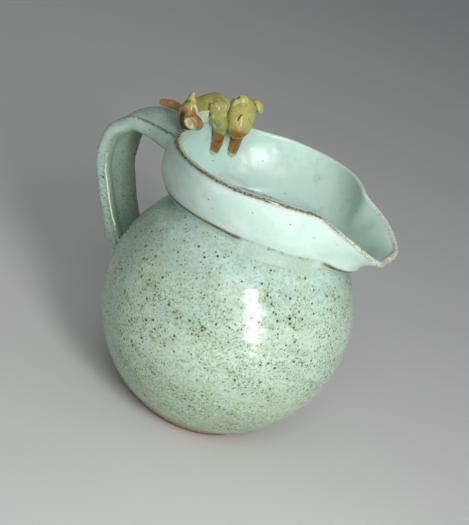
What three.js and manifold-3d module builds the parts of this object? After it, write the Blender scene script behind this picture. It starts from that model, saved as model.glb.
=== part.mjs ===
// Round stoneware jug with a wide spout collar, a pulled handle and a small bear asleep on the rim.
// Millimetres, +Z up, spout towards +X, handle towards -X, origin at the centre of the flat base.
import * as THREE from 'three';
import { mergeVertices } from 'three/addons/utils/BufferGeometryUtils.js';
import Module from 'manifold-3d';

const wasm = await Module();
wasm.setup();

// Body: a thrown ball with a turned foot
const bodyRadius = 50;
const bellyHeight = 46;
const bodyWall = 3.5;
const floorThickness = 4.5;
const footRadius = 25;
const footBandHeight = 3.8;
const footBandFlare = 3;
const footBevel = 1.2;
const throatRadius = 31;

// Collar: a convex band that opens into a broad spout
const rimRadius = 41;
const collarWall = 2.5;
const edgeRadius = 34;
const edgeStandoff = 3.5;
const edgeUndercut = 1.5;
const edgeChamfer = 0.8;
const bandHeight = 21;
const bandBulge = 1.9;
const rimRounding = 1;
const ledgeFillet = 2.4;
const spoutCrowding = 0.35;
const saddleHeight = 3.7;
const saddleAngle = THREE.MathUtils.degToRad(166);
const saddleSpread = THREE.MathUtils.degToRad(12);

// Handle: a pulled strap with a bead along each edge
const handleReach = 28.6;
const handleDrop = 6.9;
const handleFootDrop = 1;
const handleBite = 3.5;
const strapWidth = 22.6;
const strapThickness = 7.2;
const strapLean = THREE.MathUtils.degToRad(8);

// Bear: hand-modelled, lying along the rim with its head and forelegs inside
const bearAngle = THREE.MathUtils.degToRad(170);
const bearLength = 25;
const backHeight = 7.5;
const torsoRadius = 4.1;
const headRadius = 6.3;
const earRadius = 2.6;
const earThickness = 1.9;
const armRadius = 3.9;
const armDrop = 11.5;
const legRadius = 3.5;
const farLegReach = 13.6;
const farLegDrop = 3.8;
const farLegHeading = THREE.MathUtils.degToRad(161);
const footPadRadius = 2.7;
const eyeSlit = 0.3;
const tailLength = 2.9;
const tailRadius = 2;

// Gap left between pieces that touch
const fitGap = 0.3;

// Angles from the spout at which the collar is measured, and its forms there as shares
const collarAngles = [0, 12, 25, 38, 52, 70, 95, 130, 180].map(THREE.MathUtils.degToRad);
const rimRadiusShares = [1.271, 1.292, 1.12, 0.93, 0.95, 1.011, 1.076, 1.033, 0.974];
const edgeRadiusShares = [1.244, 1.184, 1.059, 0.999, 0.99, 0.997, 1.024, 1.079, 1.188];
const standoffShares = [1.96, 1.66, 1.11, 0.59, 0.66, 0.84, 1.11, 1.16, 1.36];
const undercutShares = [5.2, 3.9, 2.2, 0.9, 0.85, 1, 1.6, 2.3, 3.5];
const bandHeightShares = [0.505, 0.555, 0.742, 0.96, 1, 0.992, 0.95, 1.005, 1.15];
const bulgeShares = [-0.63, -0.3, 0.3, 0.75, 0.9, 1, 1, 1.3, 2.1];
const bulgeHeightShares = [0.62, 0.66, 0.58, 0.5, 0.5, 0.5, 0.5, 0.5, 0.5];
const lipDropShares = [2.3, 1.9, 1.3, 1, 1, 1, 1, 1, 1];
const seatShares = [0.33, 0.67];
const edgeLiftShare = 0.5;

// Top of the rim: share of the wall inward, share of the rounding down
const rimArcShares = [[0, 1], [0.17, 0.25], [0.5, 0], [0.83, 0.25], [1, 1]];

// Curve of a handle from rim to belly: share of the way out from its root, share of its height
const handleTopShares = [
  [-0.053, 0.975], [0.241, 0.994], [0.489, 1], [0.74, 0.964], [0.853, 0.901], [0.975, 0.821],
];
const handleSideShares = [
  [1, 0.691], [0.946, 0.56], [0.823, 0.453], [0.638, 0.312], [0.42, 0.181], [0.174, 0.074], [0, 0],
];
const strapWidthShares = [1.36, 1.2, 1.06, 1, 0.98, 0.96, 0.95, 0.93, 0.91, 0.9, 0.93, 1.02, 1.12];
const strapThicknessShares = [
  1.25, 1.08, 1, 0.97, 0.97, 0.97, 0.95, 0.93, 0.92, 0.92, 0.95, 1.05, 1.15,
];
const strapLeanShares = [
  0.04, 0.55, 1.05, 0.59, 0.13, -0.35, -0.83, -0.79, -0.76, -0.49, -0.21, 0, 0,
];

// Strap section: share of half the width, share of half the thickness
const strapSectionShares = [
  [-0.82, 0.86], [-0.42, 1.08], [0, 1.16], [0.42, 1.08], [0.82, 0.86], [0.96, 0.52], [1, 0], [0.95, -0.6],
  [0.8, -1], [0.62, -0.9], [0.42, -0.6], [0, -0.48], [-0.42, -0.6], [-0.62, -0.9], [-0.8, -1], [-0.95, -0.6],
  [-1, 0], [-0.96, 0.52],
];

// Bear stations: shares of the bear's length along the rim, of the back's height outward and upward,
// and of the piece's own radius
const torsoShares = [
  [-0.6, 0.12, 0.5, 0.74], [-0.53, 0.18, 0.68, 0.92], [-0.36, 0.22, 0.76, 0.94], [-0.12, 0.22, 0.82, 0.96],
  [0.11, 0.2, 0.9, 1.06], [0.31, 0.14, 0.89, 1.08], [0.49, 0.06, 0.76, 0.94],
];
const headShares = [
  [0.72, -0.2, 0.86, 0.93], [0.685, -0.38, 0.64, 1], [0.65, -0.6, 0.38, 0.95], [0.625, -0.78, 0.18, 0.82],
  [0.61, -0.9, 0.06, 0.65],
];
const thighShares = [[-0.66, 0.02, 0.66, 0.8], [-0.69, -0.02, 0.46, 0.87], [-0.69, -0.07, 0.26, 0.84]];
const nearFootShares = [[-0.74, -0.28, 0.43, 1.02], [-0.63, -0.4, 0.35, 1], [-0.52, -0.45, 0.21, 0.84]];
const farLegShares = [
  [0, 0, 0.9], [0.22, -0.07, 0.72], [0.48, -0.14, 0.6], [0.8, -0.2, 0.56], [1, -0.22, 0.45],
];
const tailShares = [[0.2, 1], [0.6, 0.8], [1, 0.36]];
const tailLeanShare = 0.2;
const tailSeatShare = 0.8;

// Foreleg stations: share of the bear's length along, share of the drop from the rim, share of its radius
const nearArmShares = [
  [0.06, -0.6, 0.94], [0.12, -0.36, 0.88], [0.24, 0.04, 0.69], [0.34, 0.4, 0.56], [0.4, 0.76, 0.48],
  [0.4, 0.98, 0.4],
];
const farArmShares = [
  [0.6, -0.35, 0.8], [0.7, 0, 0.7], [0.77, 0.35, 0.6], [0.785, 0.7, 0.52], [0.785, 0.96, 0.44],
];
const armStandShare = 0.9;
const armInShare = 0.5;

// Ears: way out from the crown as shares along, outward and upward, and how far out of it they stand
const nearEarShares = [-0.5, -0.2, 0.94];
const nearEarSeatShare = -0.2;
const farEarShares = [0.93, 0.06, 0.34];
const farEarSeatShare = 0.55;
const earNodShare = 1.6;
const earProfileShares = [
  [0, -1], [0.55, -0.95], [0.88, -0.6], [1, 0], [0.9, 0.62], [0.72, 0.8], [0.45, 0.3], [0, 0.05],
];

// Ends of the closed eyes: shares of the head's radius along, outward and upward from its widest station
const eyeShares = [
  [[-0.5, -0.9, 0.31], [-0.61, -0.92, -0.07]],
  [[-0.17, -1.01, 0.34], [0.15, -1.085, 0.06]],
];

// Numbers of facets
const turnSteps = 64;
const collarSteps = 72;
const strapSteps = 34;
const limbSides = 14;
const limbCapShares = [0.12, 0.4, 0.7];
const lowSteps = 9;
const highSteps = 9;
const hollowSteps = 14;
const bandSteps = 4;
const wallSteps = 5;
const ledgeSteps = 1;
const probeSteps = 24;
const torsoSteps = 16;
const headSteps = 14;
const armSteps = 14;
const legSteps = 12;
const tailSteps = 5;
const slitSteps = 2;

/** Smooth value at an angle from the spout, even on both sides of it. */
function around(shares, angle) {
  const turned = Math.abs(Math.atan2(Math.sin(angle), Math.cos(angle)));
  const last = collarAngles.length - 1;
  let i = 0;
  while (i < last - 1 && turned > collarAngles[i + 1]) i += 1;
  const width = collarAngles[i + 1] - collarAngles[i];
  const t = (turned - collarAngles[i]) / width;
  const slope = (k) => {
    if (k === 0 || k === last) return 0;
    return (shares[k + 1] - shares[k - 1]) / (collarAngles[k + 1] - collarAngles[k - 1]);
  };
  const rise = t * t * (3 - 2 * t);
  const lead = t * (1 - t) * (1 - t) * width * slope(i);
  const tail = t * t * (t - 1) * width * slope(i + 1);
  return shares[i] + rise * (shares[i + 1] - shares[i]) + lead + tail;
}

/** Smooth value along a list of evenly spaced numbers, t from 0 to 1. */
function along(values, t) {
  const points = values.map((v) => new THREE.Vector3(v, 0, 0));
  return new THREE.CatmullRomCurve3(points, false, 'catmullrom', 0.5).getPoint(t).x;
}

/** Height above the belly at which a ball of the given size has the given radius. */
function ballHeight(radius, ball) {
  return Math.sqrt(Math.max(ball * ball - radius * radius, 0));
}

/** Point of a half plane through the axis, heights counted from the belly. */
function onTurn(angle, radius, height) {
  return new THREE.Vector3(radius * Math.cos(angle), radius * Math.sin(angle), bellyHeight + height);
}

/** Quadratic curve through two ends with one control point, as steps inside its ends. */
function bow(start, control, end, steps) {
  const curve = new THREE.QuadraticBezierCurve(start, control, end);
  return curve.getPoints(steps + 1).slice(1, -1);
}

/** Closed solid from rings of equal count, with a fan over each end. */
function skin(rings) {
  const sides = rings[0].length;
  const middle = (ring) => ring.reduce((sum, p) => sum.add(p), new THREE.Vector3()).divideScalar(sides);
  const points = [...rings.flat(), middle(rings[0]), middle(rings[rings.length - 1])];
  const first = rings.length * sides;
  const faces = [];
  for (let r = 0; r + 1 < rings.length; r += 1) {
    for (let s = 0; s < sides; s += 1) {
      const a = r * sides + s;
      const b = r * sides + ((s + 1) % sides);
      faces.push(a, b, b + sides, a, b + sides, a + sides);
    }
  }
  for (let s = 0; s < sides; s += 1) {
    const next = (s + 1) % sides;
    faces.push(first, next, s);
    faces.push(first + 1, first - sides + s, first - sides + next);
  }
  return closed(points, faces);
}

/** Closed solid from sections that go right round the axis and join up. */
function hoop(sections) {
  const count = sections.length;
  const sides = sections[0].length;
  const faces = [];
  for (let r = 0; r < count; r += 1) {
    for (let s = 0; s < sides; s += 1) {
      const a = r * sides + s;
      const b = r * sides + ((s + 1) % sides);
      const c = ((r + 1) % count) * sides + ((s + 1) % sides);
      const d = ((r + 1) % count) * sides + s;
      faces.push(a, c, b, a, d, c);
    }
  }
  return closed(sections.flat(), faces);
}

/** Geometry from points and faces. */
function closed(points, faces) {
  const geometry = new THREE.BufferGeometry();
  const numbers = points.flatMap((p) => p.toArray());
  geometry.setAttribute('position', new THREE.Float32BufferAttribute(numbers, 3));
  geometry.setIndex(faces);
  return geometry;
}

/** Solid for joining and cutting, from a closed geometry. */
function solid(geometry) {
  const bare = geometry.clone();
  bare.deleteAttribute('normal');
  bare.deleteAttribute('uv');
  const merged = mergeVertices(bare);
  const index = Array.from(merged.index.array);
  const kept = [];
  for (let i = 0; i < index.length; i += 3) {
    const [a, b, c] = index.slice(i, i + 3);
    if (a !== b && b !== c && c !== a) kept.push(a, b, c);
  }
  return new wasm.Manifold(new wasm.Mesh({
    numProp: 3,
    vertProperties: new Float32Array(merged.attributes.position.array),
    triVerts: new Uint32Array(kept),
  }));
}

/** Geometry of a joined or cut solid. */
function shapeOf(body) {
  const mesh = body.getMesh();
  const geometry = new THREE.BufferGeometry();
  geometry.setAttribute('position', new THREE.BufferAttribute(new Float32Array(mesh.vertProperties), 3));
  geometry.setIndex(new THREE.BufferAttribute(new Uint32Array(mesh.triVerts), 1));
  return geometry;
}

/** The first solid less all the others. */
function cutBy(body, ...others) {
  return others.reduce((left, other) => left.subtract(other), body);
}

// Body

/** Outer profile of the body from the base to the mouth, grown outward by the given amount. */
function bodyOutline(grow) {
  const ball = bodyRadius + grow;
  const bandTop = -bellyHeight + footBandHeight;
  const bandRadius = footRadius + footBandFlare + grow;
  const lowStart = Math.asin(bandRadius / ball);
  const depth = -bandTop / Math.cos(lowStart);
  const base = -bellyHeight - grow;
  const points = [
    new THREE.Vector2(footRadius - footBevel + grow, base),
    new THREE.Vector2(footRadius + grow, base + footBevel),
  ];
  for (let i = 0; i <= lowSteps; i += 1) {
    const turn = THREE.MathUtils.lerp(lowStart, Math.PI / 2, i / lowSteps);
    points.push(new THREE.Vector2(ball * Math.sin(turn), -depth * Math.cos(turn)));
  }
  const highEnd = Math.acos(throatRadius / ball);
  for (let i = 1; i <= highSteps; i += 1) {
    const turn = (highEnd * i) / highSteps;
    points.push(new THREE.Vector2(ball * Math.cos(turn), ball * Math.sin(turn)));
  }
  return points;
}

/** Inner profile of the body from the throat down to the middle of the floor. */
function bodyHollow() {
  const ball = bodyRadius - bodyWall;
  const floor = -bellyHeight + floorThickness;
  const start = Math.acos(throatRadius / ball);
  const floorRadius = footRadius - bodyWall;
  const end = -Math.acos(floorRadius / ball);
  const points = [];
  for (let i = 0; i <= hollowSteps; i += 1) {
    const turn = THREE.MathUtils.lerp(start, end, i / hollowSteps);
    const height = ball * Math.sin(turn);
    points.push(new THREE.Vector2(ball * Math.cos(turn), Math.max(height, floor)));
  }
  points.push(new THREE.Vector2(0, floor));
  return points;
}

/** Turned geometry from a profile whose heights count from the belly. */
function turned(points) {
  const raised = points.map((p) => new THREE.Vector2(p.x, p.y + bellyHeight));
  const geometry = new THREE.LatheGeometry(raised, turnSteps);
  geometry.rotateX(Math.PI / 2);
  return geometry;
}

function bodyGeometry() {
  const outline = bodyOutline(0);
  return turned([new THREE.Vector2(0, outline[0].y), ...outline, ...bodyHollow()]);
}

function bodyBlock() {
  const outline = bodyOutline(fitGap);
  const top = outline[outline.length - 1].y;
  return solid(turned([new THREE.Vector2(0, outline[0].y), ...outline, new THREE.Vector2(0, top)]));
}

// Collar

/** Extra height of the rim in the low saddle that the bear lies on. */
function saddle(angle) {
  const away = Math.atan2(Math.sin(angle - saddleAngle), Math.cos(angle - saddleAngle)) / saddleSpread;
  return saddleHeight * Math.exp(-away * away);
}

/** Named points of the collar's section at an angle from the spout, each a radius and a height. */
function collarPoints(angle) {
  const edgeR = edgeRadius * around(edgeRadiusShares, angle);
  const standing = bodyRadius + edgeStandoff * around(standoffShares, angle);
  const edge = new THREE.Vector2(edgeR, ballHeight(edgeR, standing));
  const rim = new THREE.Vector2(
    rimRadius * around(rimRadiusShares, angle),
    edge.y + bandHeight * around(bandHeightShares, angle) + saddle(angle),
  );
  const seatBall = bodyRadius + fitGap;
  const contactR = edgeR - edgeUndercut * around(undercutShares, angle);
  const contact = new THREE.Vector2(contactR, ballHeight(contactR, seatBall));
  const throat = new THREE.Vector2(throatRadius, ballHeight(throatRadius, seatBall));
  const bulge = 2 * bandBulge * around(bulgeShares, angle);
  const bellied = new THREE.Vector2(
    (edge.x + rim.x) / 2 + bulge,
    THREE.MathUtils.lerp(edge.y, rim.y, around(bulgeHeightShares, angle)),
  );
  return { edge, rim, contact, throat, bellied };
}

/** Rounded top of the rim, from its outer shoulder, lower at the lip, over to its inner one. */
function rimArc(angle) {
  const { rim } = collarPoints(angle);
  return rimArcShares.map(([across, down], i) => {
    const drop = i < 2 ? down * around(lipDropShares, angle) : down;
    return new THREE.Vector2(rim.x - across * collarWall, rim.y - drop * rimRounding);
  });
}

/** Inside of the collar, from below the rim down to the throat, as thick as the wall from its outside. */
function collarInside(angle, steps) {
  const { edge, rim, bellied, throat } = collarPoints(angle);
  const across = new THREE.Vector2(edge.y - rim.y, rim.x - edge.x).setLength(collarWall);
  const inner = rimArc(angle).pop();
  const foot = edge.clone().add(across);
  const wall = new THREE.QuadraticBezierCurve(inner, bellied.clone().add(across), foot).getPoints(steps);
  const settled = wall.slice(1).map((p) => {
    const above = p.y - throat.y;
    return new THREE.Vector2(p.x, throat.y + (above + Math.hypot(above, ledgeFillet)) / 2);
  });
  const last = settled[settled.length - 1];
  const turn = new THREE.Vector2((throat.x + last.x) / 2, throat.y);
  return [...settled, ...bow(last, turn, throat, ledgeSteps)];
}

/** Outer half of the collar's section, from the seat on the ball to the top of the rim. */
function collarOutside(angle) {
  const { edge, contact, bellied } = collarPoints(angle);
  const under = edge.clone().sub(contact).setLength(edgeChamfer);
  const start = edge.clone().add(new THREE.Vector2(0, edgeChamfer * edgeLiftShare));
  const arc = rimArc(angle).slice(0, 3);
  return [
    contact,
    edge.clone().sub(under),
    start,
    ...bow(start, bellied, arc[0], bandSteps),
    ...arc,
  ];
}

/** Whole section of the collar, closed on itself. */
function collarSection(angle) {
  const { contact, throat } = collarPoints(angle);
  const seatBall = bodyRadius + fitGap;
  const seat = seatShares.map((share) => {
    const radius = THREE.MathUtils.lerp(throat.x, contact.x, share);
    return new THREE.Vector2(radius, ballHeight(radius, seatBall));
  });
  return [
    throat,
    ...seat,
    ...collarOutside(angle),
    ...rimArc(angle).slice(3),
    ...collarInside(angle, wallSteps),
  ];
}

/** Section moved outward all round. */
function grown(section, amount, open) {
  const last = section.length - 1;
  return section.map((p, i) => {
    const before = section[i === 0 ? (open ? 0 : last) : i - 1];
    const after = section[i === last ? (open ? last : 0) : i + 1];
    const run = after.clone().sub(before).normalize();
    return new THREE.Vector2(p.x + run.y * amount, p.y - run.x * amount);
  });
}

/** Angles round the collar, closer together at the spout. */
function collarTurns() {
  return Array.from({ length: collarSteps }, (_, i) => {
    const even = (2 * Math.PI * i) / collarSteps;
    return even - spoutCrowding * Math.sin(even);
  });
}

function collarGeometry(grow = 0) {
  return hoop(collarTurns().map((angle) => {
    const section = grown(collarSection(angle), grow, false);
    return section.map((p) => onTurn(angle, p.x, p.y));
  }));
}

/** The collar filled in to the axis, which trims what is joined to its outside. */
function collarBlock() {
  const turns = collarTurns();
  const outsides = turns.map((angle) => grown(collarOutside(angle), fitGap, true));
  const low = Math.min(...outsides.flat().map((p) => p.y));
  const high = Math.max(...outsides.flat().map((p) => p.y));
  return solid(hoop(turns.map((angle, i) => [
    onTurn(angle, 0, low),
    ...outsides[i].map((p) => onTurn(angle, p.x, p.y)),
    onTurn(angle, 0, high),
  ])));
}

/** Inner radius of the collar at an angle and at a depth below the top of the rim. */
function innerRadius(angle, depth) {
  const height = collarPoints(angle).rim.y - depth;
  const wall = collarInside(angle, probeSteps);
  const below = wall.find((p) => p.y <= height) ?? wall[wall.length - 1];
  return below.x;
}

// Handle

const handleTop = collarPoints(Math.PI);

/** Middle line of the strap in the plane through spout and handle. */
function handlePath() {
  const reach = handleTop.rim.x + handleReach;
  const top = handleTop.rim.y - handleDrop;
  const low = -handleFootDrop;
  const root = bodyRadius - handleBite;
  const upper = handleTopShares.map(([out, up]) => [
    handleTop.rim.x + out * handleReach,
    THREE.MathUtils.lerp(low, top, up),
  ]);
  const lower = handleSideShares.map(([out, up]) => [
    THREE.MathUtils.lerp(root, reach, out),
    THREE.MathUtils.lerp(low, top, up),
  ]);
  const points = [...upper, ...lower].map(([r, z]) => new THREE.Vector3(-r, 0, bellyHeight + z));
  return new THREE.CatmullRomCurve3(points, false, 'centripetal');
}

function handleGeometry(grow = 0) {
  const path = handlePath();
  const across = new THREE.Vector3(0, 1, 0);
  const rings = [];
  for (let i = 0; i <= strapSteps; i += 1) {
    const t = i / strapSteps;
    const centre = path.getPoint(t);
    const run = path.getTangent(t);
    const out = new THREE.Vector3().crossVectors(across, run).normalize();
    const lean = strapLean * along(strapLeanShares, t);
    const side = across.clone().applyAxisAngle(run, -lean);
    const up = out.clone().applyAxisAngle(run, -lean);
    const halfWidth = (strapWidth / 2) * along(strapWidthShares, t) + grow;
    const halfDepth = (strapThickness / 2) * along(strapThicknessShares, t) + grow;
    rings.push(strapSectionShares.map(([u, v]) => centre.clone()
      .addScaledVector(side, u * halfWidth)
      .addScaledVector(up, v * halfDepth)));
  }
  return skin(rings);
}

// Bear

/** Point on the bear's own lines: along the rim, outward from the rim's edge and above it. */
function onRim(alongRim, out, up) {
  const angle = bearAngle - alongRim / rimRadius;
  const { rim } = collarPoints(angle);
  return onTurn(angle, rim.x + out, rim.y - saddle(angle) + up);
}

/** Rounded limb through stations, each a centre and a radius. */
function limb(stations, grow = 0, steps = legSteps) {
  const path = new THREE.CatmullRomCurve3(stations.map((s) => s.centre), false, 'centripetal');
  const radii = stations.map((s) => s.radius);
  const frames = path.computeFrenetFrames(steps, false);
  const rings = [];
  const ringAt = (centre, normal, binormal, radius) => {
    const ring = [];
    for (let s = 0; s < limbSides; s += 1) {
      const turn = (2 * Math.PI * s) / limbSides;
      ring.push(centre.clone()
        .addScaledVector(normal, radius * Math.cos(turn))
        .addScaledVector(binormal, radius * Math.sin(turn)));
    }
    rings.push(ring);
  };
  const capTurns = limbCapShares.map((share) => (share * Math.PI) / 2);
  const startRadius = radii[0] + grow;
  const endRadius = radii[radii.length - 1] + grow;
  for (const turn of capTurns) {
    const centre = path.getPoint(0).addScaledVector(path.getTangent(0), -startRadius * Math.cos(turn));
    ringAt(centre, frames.normals[0], frames.binormals[0], startRadius * Math.sin(turn));
  }
  for (let i = 0; i <= steps; i += 1) {
    const t = path.getUtoTmapping(i / steps);
    ringAt(path.getPoint(t), frames.normals[i], frames.binormals[i], along(radii, t) + grow);
  }
  for (const turn of [...capTurns].reverse()) {
    const centre = path.getPoint(1).addScaledVector(path.getTangent(1), endRadius * Math.cos(turn));
    ringAt(centre, frames.normals[steps], frames.binormals[steps], endRadius * Math.sin(turn));
  }
  return solid(skin(rings));
}

/** Stations from shares of the bear's length, of its back's height and of a radius. */
function stationsOf(shares, radius) {
  return shares.map(([a, out, up, r]) => ({
    centre: onRim(a * bearLength, out * backHeight, up * backHeight),
    radius: r * radius,
  }));
}

/** Stations of a foreleg, which hangs down the inside of the collar. */
function armStations(shares) {
  return shares.map(([a, drop, r]) => {
    const alongRim = a * bearLength;
    const angle = bearAngle - alongRim / rimRadius;
    const depth = Math.max(drop * armDrop, rimRounding) + saddle(angle);
    const inward = Math.max(-drop, 0) * armInShare * collarWall;
    const radius = r * armRadius;
    const out = innerRadius(angle, depth) - collarPoints(angle).rim.x - armStandShare * radius - inward;
    return { centre: onRim(alongRim, out, -drop * armDrop), radius };
  });
}

const torsoStations = stationsOf(torsoShares, torsoRadius);
const headStations = stationsOf(headShares, headRadius);

/** The far hind leg runs back from the hip along the top of the strap. */
function farLegStations() {
  const hip = torsoStations[2].centre;
  const heading = new THREE.Vector3(Math.cos(farLegHeading), Math.sin(farLegHeading), 0);
  return farLegShares.map(([out, up, r]) => {
    const centre = hip.clone().addScaledVector(heading, out * farLegReach);
    centre.z += up * farLegReach - out * farLegDrop;
    return { centre, radius: r * legRadius };
  });
}

/** The stub of a tail points up and back from the hips. */
function tailStations() {
  const hip = torsoStations[1];
  return tailShares.map(([share, r]) => {
    const rise = share * tailLength;
    const lift = new THREE.Vector3(-tailLeanShare * rise, 0, hip.radius * tailSeatShare + rise);
    return { centre: hip.centre.clone().add(lift), radius: r * tailRadius };
  });
}

/** A round ear: a small disc with a hollow in its face, its face along +Z. */
function earGeometry() {
  const half = earThickness / 2;
  const profile = earProfileShares.map(([x, y]) => new THREE.Vector2(x * earRadius, y * half));
  return new THREE.LatheGeometry(profile, limbSides).rotateX(Math.PI / 2);
}

/** Directions at the head: along the rim, outward from the axis. */
function headFrame() {
  const crown = headStations[0].centre;
  const radial = new THREE.Vector3(crown.x, crown.y, 0).normalize();
  return { onward: new THREE.Vector3(radial.y, -radial.x, 0), radial };
}

/** An ear stands on the crown, its hollow towards the face. */
function ear([alongShare, outShare, upShare], seatShare) {
  const crown = headStations[0];
  const muzzle = headStations[headStations.length - 1];
  const { onward, radial } = headFrame();
  const outward = onward.multiplyScalar(alongShare).addScaledVector(radial, outShare);
  outward.add(new THREE.Vector3(0, 0, upShare)).normalize();
  const down = muzzle.centre.clone().sub(crown.centre).normalize();
  const face = new THREE.Vector3(0, 0, 1).addScaledVector(down, earNodShare);
  face.addScaledVector(outward, -face.dot(outward)).normalize();
  const basis = new THREE.Matrix4().lookAt(face, new THREE.Vector3(), outward);
  const centre = crown.centre.clone().addScaledVector(outward, crown.radius + seatShare * earRadius);
  return solid(earGeometry().applyMatrix4(basis.setPosition(centre)));
}

/** A thin slit along the line of a closed eye. */
function eye(ends) {
  const { onward, radial } = headFrame();
  const middle = headStations[1].centre;
  const [start, end] = ends.map(([a, out, up]) => middle.clone()
    .addScaledVector(onward, a * headRadius)
    .addScaledVector(radial, out * headRadius)
    .add(new THREE.Vector3(0, 0, up * headRadius)));
  return limb([{ centre: start, radius: eyeSlit }, { centre: end, radius: eyeSlit }], 0, slitSteps);
}

// Assembly

const bodyTrim = bodyBlock();
const collarTrim = collarBlock();
const collarGrown = solid(collarGeometry(fitGap));
const handleGrown = solid(handleGeometry(fitGap));
const jugTrim = [collarGrown, handleGrown];

const torso = (grow) => limb(torsoStations, grow, torsoSteps);
const head = (grow) => limb(headStations, grow, headSteps);
const face = cutBy(head(0), ...eyeShares.map(eye));
const thigh = limb(stationsOf(thighShares, legRadius));
const nearLeg = thigh.add(limb(stationsOf(nearFootShares, footPadRadius)));
const farLeg = limb(farLegStations());
const tail = limb(tailStations(), 0, tailSteps);
const ears = [
  ['near', ear(nearEarShares, nearEarSeatShare)],
  ['far', ear(farEarShares, farEarSeatShare)],
];
const arms = [
  ['near', limb(armStations(nearArmShares), 0, armSteps)],
  ['far', limb(armStations(farArmShares), 0, armSteps)],
];

const group = new THREE.Group();

/** Adds one named piece of fired and glazed clay. */
function addPiece(name, geometry, colour, roughness) {
  const material = new THREE.MeshStandardMaterial({ color: colour, roughness, metalness: 0 });
  const mesh = new THREE.Mesh(geometry, material);
  mesh.name = name;
  group.add(mesh);
}

addPiece('thrown_body', bodyGeometry(), 0xb7bfa9, 0.25);
addPiece('spout_collar', collarGeometry(), 0xc9dcd3, 0.2);
addPiece('handle', shapeOf(cutBy(solid(handleGeometry()), bodyTrim, collarTrim)), 0xb9ccc2, 0.25);
addPiece('bear_torso', shapeOf(cutBy(torso(0), ...jugTrim)), 0x9c9146, 0.3);
addPiece('bear_head', shapeOf(cutBy(face, ...jugTrim, torso(fitGap))), 0xa39a4e, 0.3);
for (const [name, arm] of arms) {
  const shape = shapeOf(cutBy(arm, ...jugTrim, torso(fitGap), head(fitGap)));
  addPiece(`bear_foreleg_${name}`, shape, 0x9a5d2c, 0.35);
}
for (const [name, disc] of ears) {
  addPiece(`bear_ear_${name}`, shapeOf(cutBy(disc, torso(fitGap), head(fitGap))), 0xa58a50, 0.35);
}
addPiece('bear_hind_leg_near', shapeOf(cutBy(nearLeg, ...jugTrim, torso(fitGap))), 0x8f5a2a, 0.35);
addPiece('bear_hind_leg_far', shapeOf(cutBy(farLeg, ...jugTrim, torso(fitGap))), 0x8f5a2a, 0.35);
addPiece('bear_tail', shapeOf(cutBy(tail, torso(fitGap))), 0x9c9146, 0.35);

export default group;
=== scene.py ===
"""Round stoneware jug with a sleeping bear on its rim: pieces, glazes, light and camera."""
import math

import bpy
import numpy as np
from mathutils import Matrix, Vector


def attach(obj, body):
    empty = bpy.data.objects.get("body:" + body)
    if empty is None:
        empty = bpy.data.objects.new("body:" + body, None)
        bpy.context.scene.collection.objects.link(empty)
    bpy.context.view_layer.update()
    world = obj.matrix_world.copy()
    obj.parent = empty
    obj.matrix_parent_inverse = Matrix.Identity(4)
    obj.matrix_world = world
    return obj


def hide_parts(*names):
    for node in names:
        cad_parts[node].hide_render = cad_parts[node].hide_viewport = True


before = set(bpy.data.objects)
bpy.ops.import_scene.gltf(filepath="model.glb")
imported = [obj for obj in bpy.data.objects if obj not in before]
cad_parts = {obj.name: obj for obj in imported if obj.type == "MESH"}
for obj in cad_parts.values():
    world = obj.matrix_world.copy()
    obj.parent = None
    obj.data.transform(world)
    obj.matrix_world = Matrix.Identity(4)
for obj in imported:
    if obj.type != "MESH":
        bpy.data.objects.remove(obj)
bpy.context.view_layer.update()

MM = 0.001
UP = np.array([0.0, 0.0, 1.0])

# Sizes in millimetres, as in the part's source
BODY_RADIUS = 50.0
BELLY = 46.0
BODY_WALL = 3.5
FLOOR = 4.5
FOOT_RADIUS = 25.0
FOOT_BAND = 3.8
FOOT_FLARE = 3.0
FOOT_BEVEL = 1.2
THROAT = 31.0
RIM_RADIUS = 41.0
COLLAR_WALL = 2.5
EDGE_RADIUS = 34.0
EDGE_STANDOFF = 3.5
EDGE_UNDERCUT = 1.5
BAND_HEIGHT = 21.0
BAND_BULGE = 1.9
RIM_ROUNDING = 1.0
LEDGE_FILLET = 2.4
SPOUT_CROWDING = 0.35
SADDLE_HEIGHT = 3.7
SADDLE_ANGLE = math.radians(166)
SADDLE_SPREAD = math.radians(12)
HANDLE_REACH = 28.6
HANDLE_DROP = 6.9
HANDLE_FOOT_DROP = 1.0
HANDLE_BITE = 3.5
STRAP_WIDTH = 22.6
STRAP_THICKNESS = 7.2
STRAP_LEAN = math.radians(8)
BEAR_ANGLE = math.radians(170)
BEAR_LENGTH = 25.0
BACK_HEIGHT = 7.5
TORSO_RADIUS = 4.1
TAIL_RADIUS = 3.2
HEAD_RADIUS = 6.3
EAR_RADIUS = 2.6
ARM_RADIUS = 3.9
ARM_DROP = 11.5
LEG_RADIUS = 3.5
FAR_LEG_REACH = 13.6
FAR_LEG_DROP = 3.8
FAR_LEG_HEADING = math.radians(161)
FOOT_PAD = 2.7

COLLAR_ANGLES = np.radians([0, 12, 25, 38, 52, 70, 95, 130, 180])
RIM_RADII = [1.271, 1.292, 1.12, 0.93, 0.95, 1.011, 1.076, 1.033, 0.974]
EDGE_RADII = [1.244, 1.184, 1.059, 0.999, 0.99, 0.997, 1.024, 1.079, 1.188]
STANDOFFS = [1.96, 1.66, 1.11, 0.59, 0.66, 0.84, 1.11, 1.16, 1.36]
UNDERCUTS = [5.2, 3.9, 2.2, 0.9, 0.85, 1, 1.6, 2.3, 3.5]
BAND_HEIGHTS = [0.505, 0.555, 0.742, 0.96, 1, 0.992, 0.95, 1.005, 1.15]
BULGES = [-0.63, -0.3, 0.3, 0.75, 0.9, 1, 1, 1.3, 2.1]
BULGE_HEIGHTS = [0.62, 0.66, 0.58, 0.5, 0.5, 0.5, 0.5, 0.5, 0.5]
LIP_DROPS = [2.3, 1.9, 1.3, 1, 1, 1, 1, 1, 1]

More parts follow.
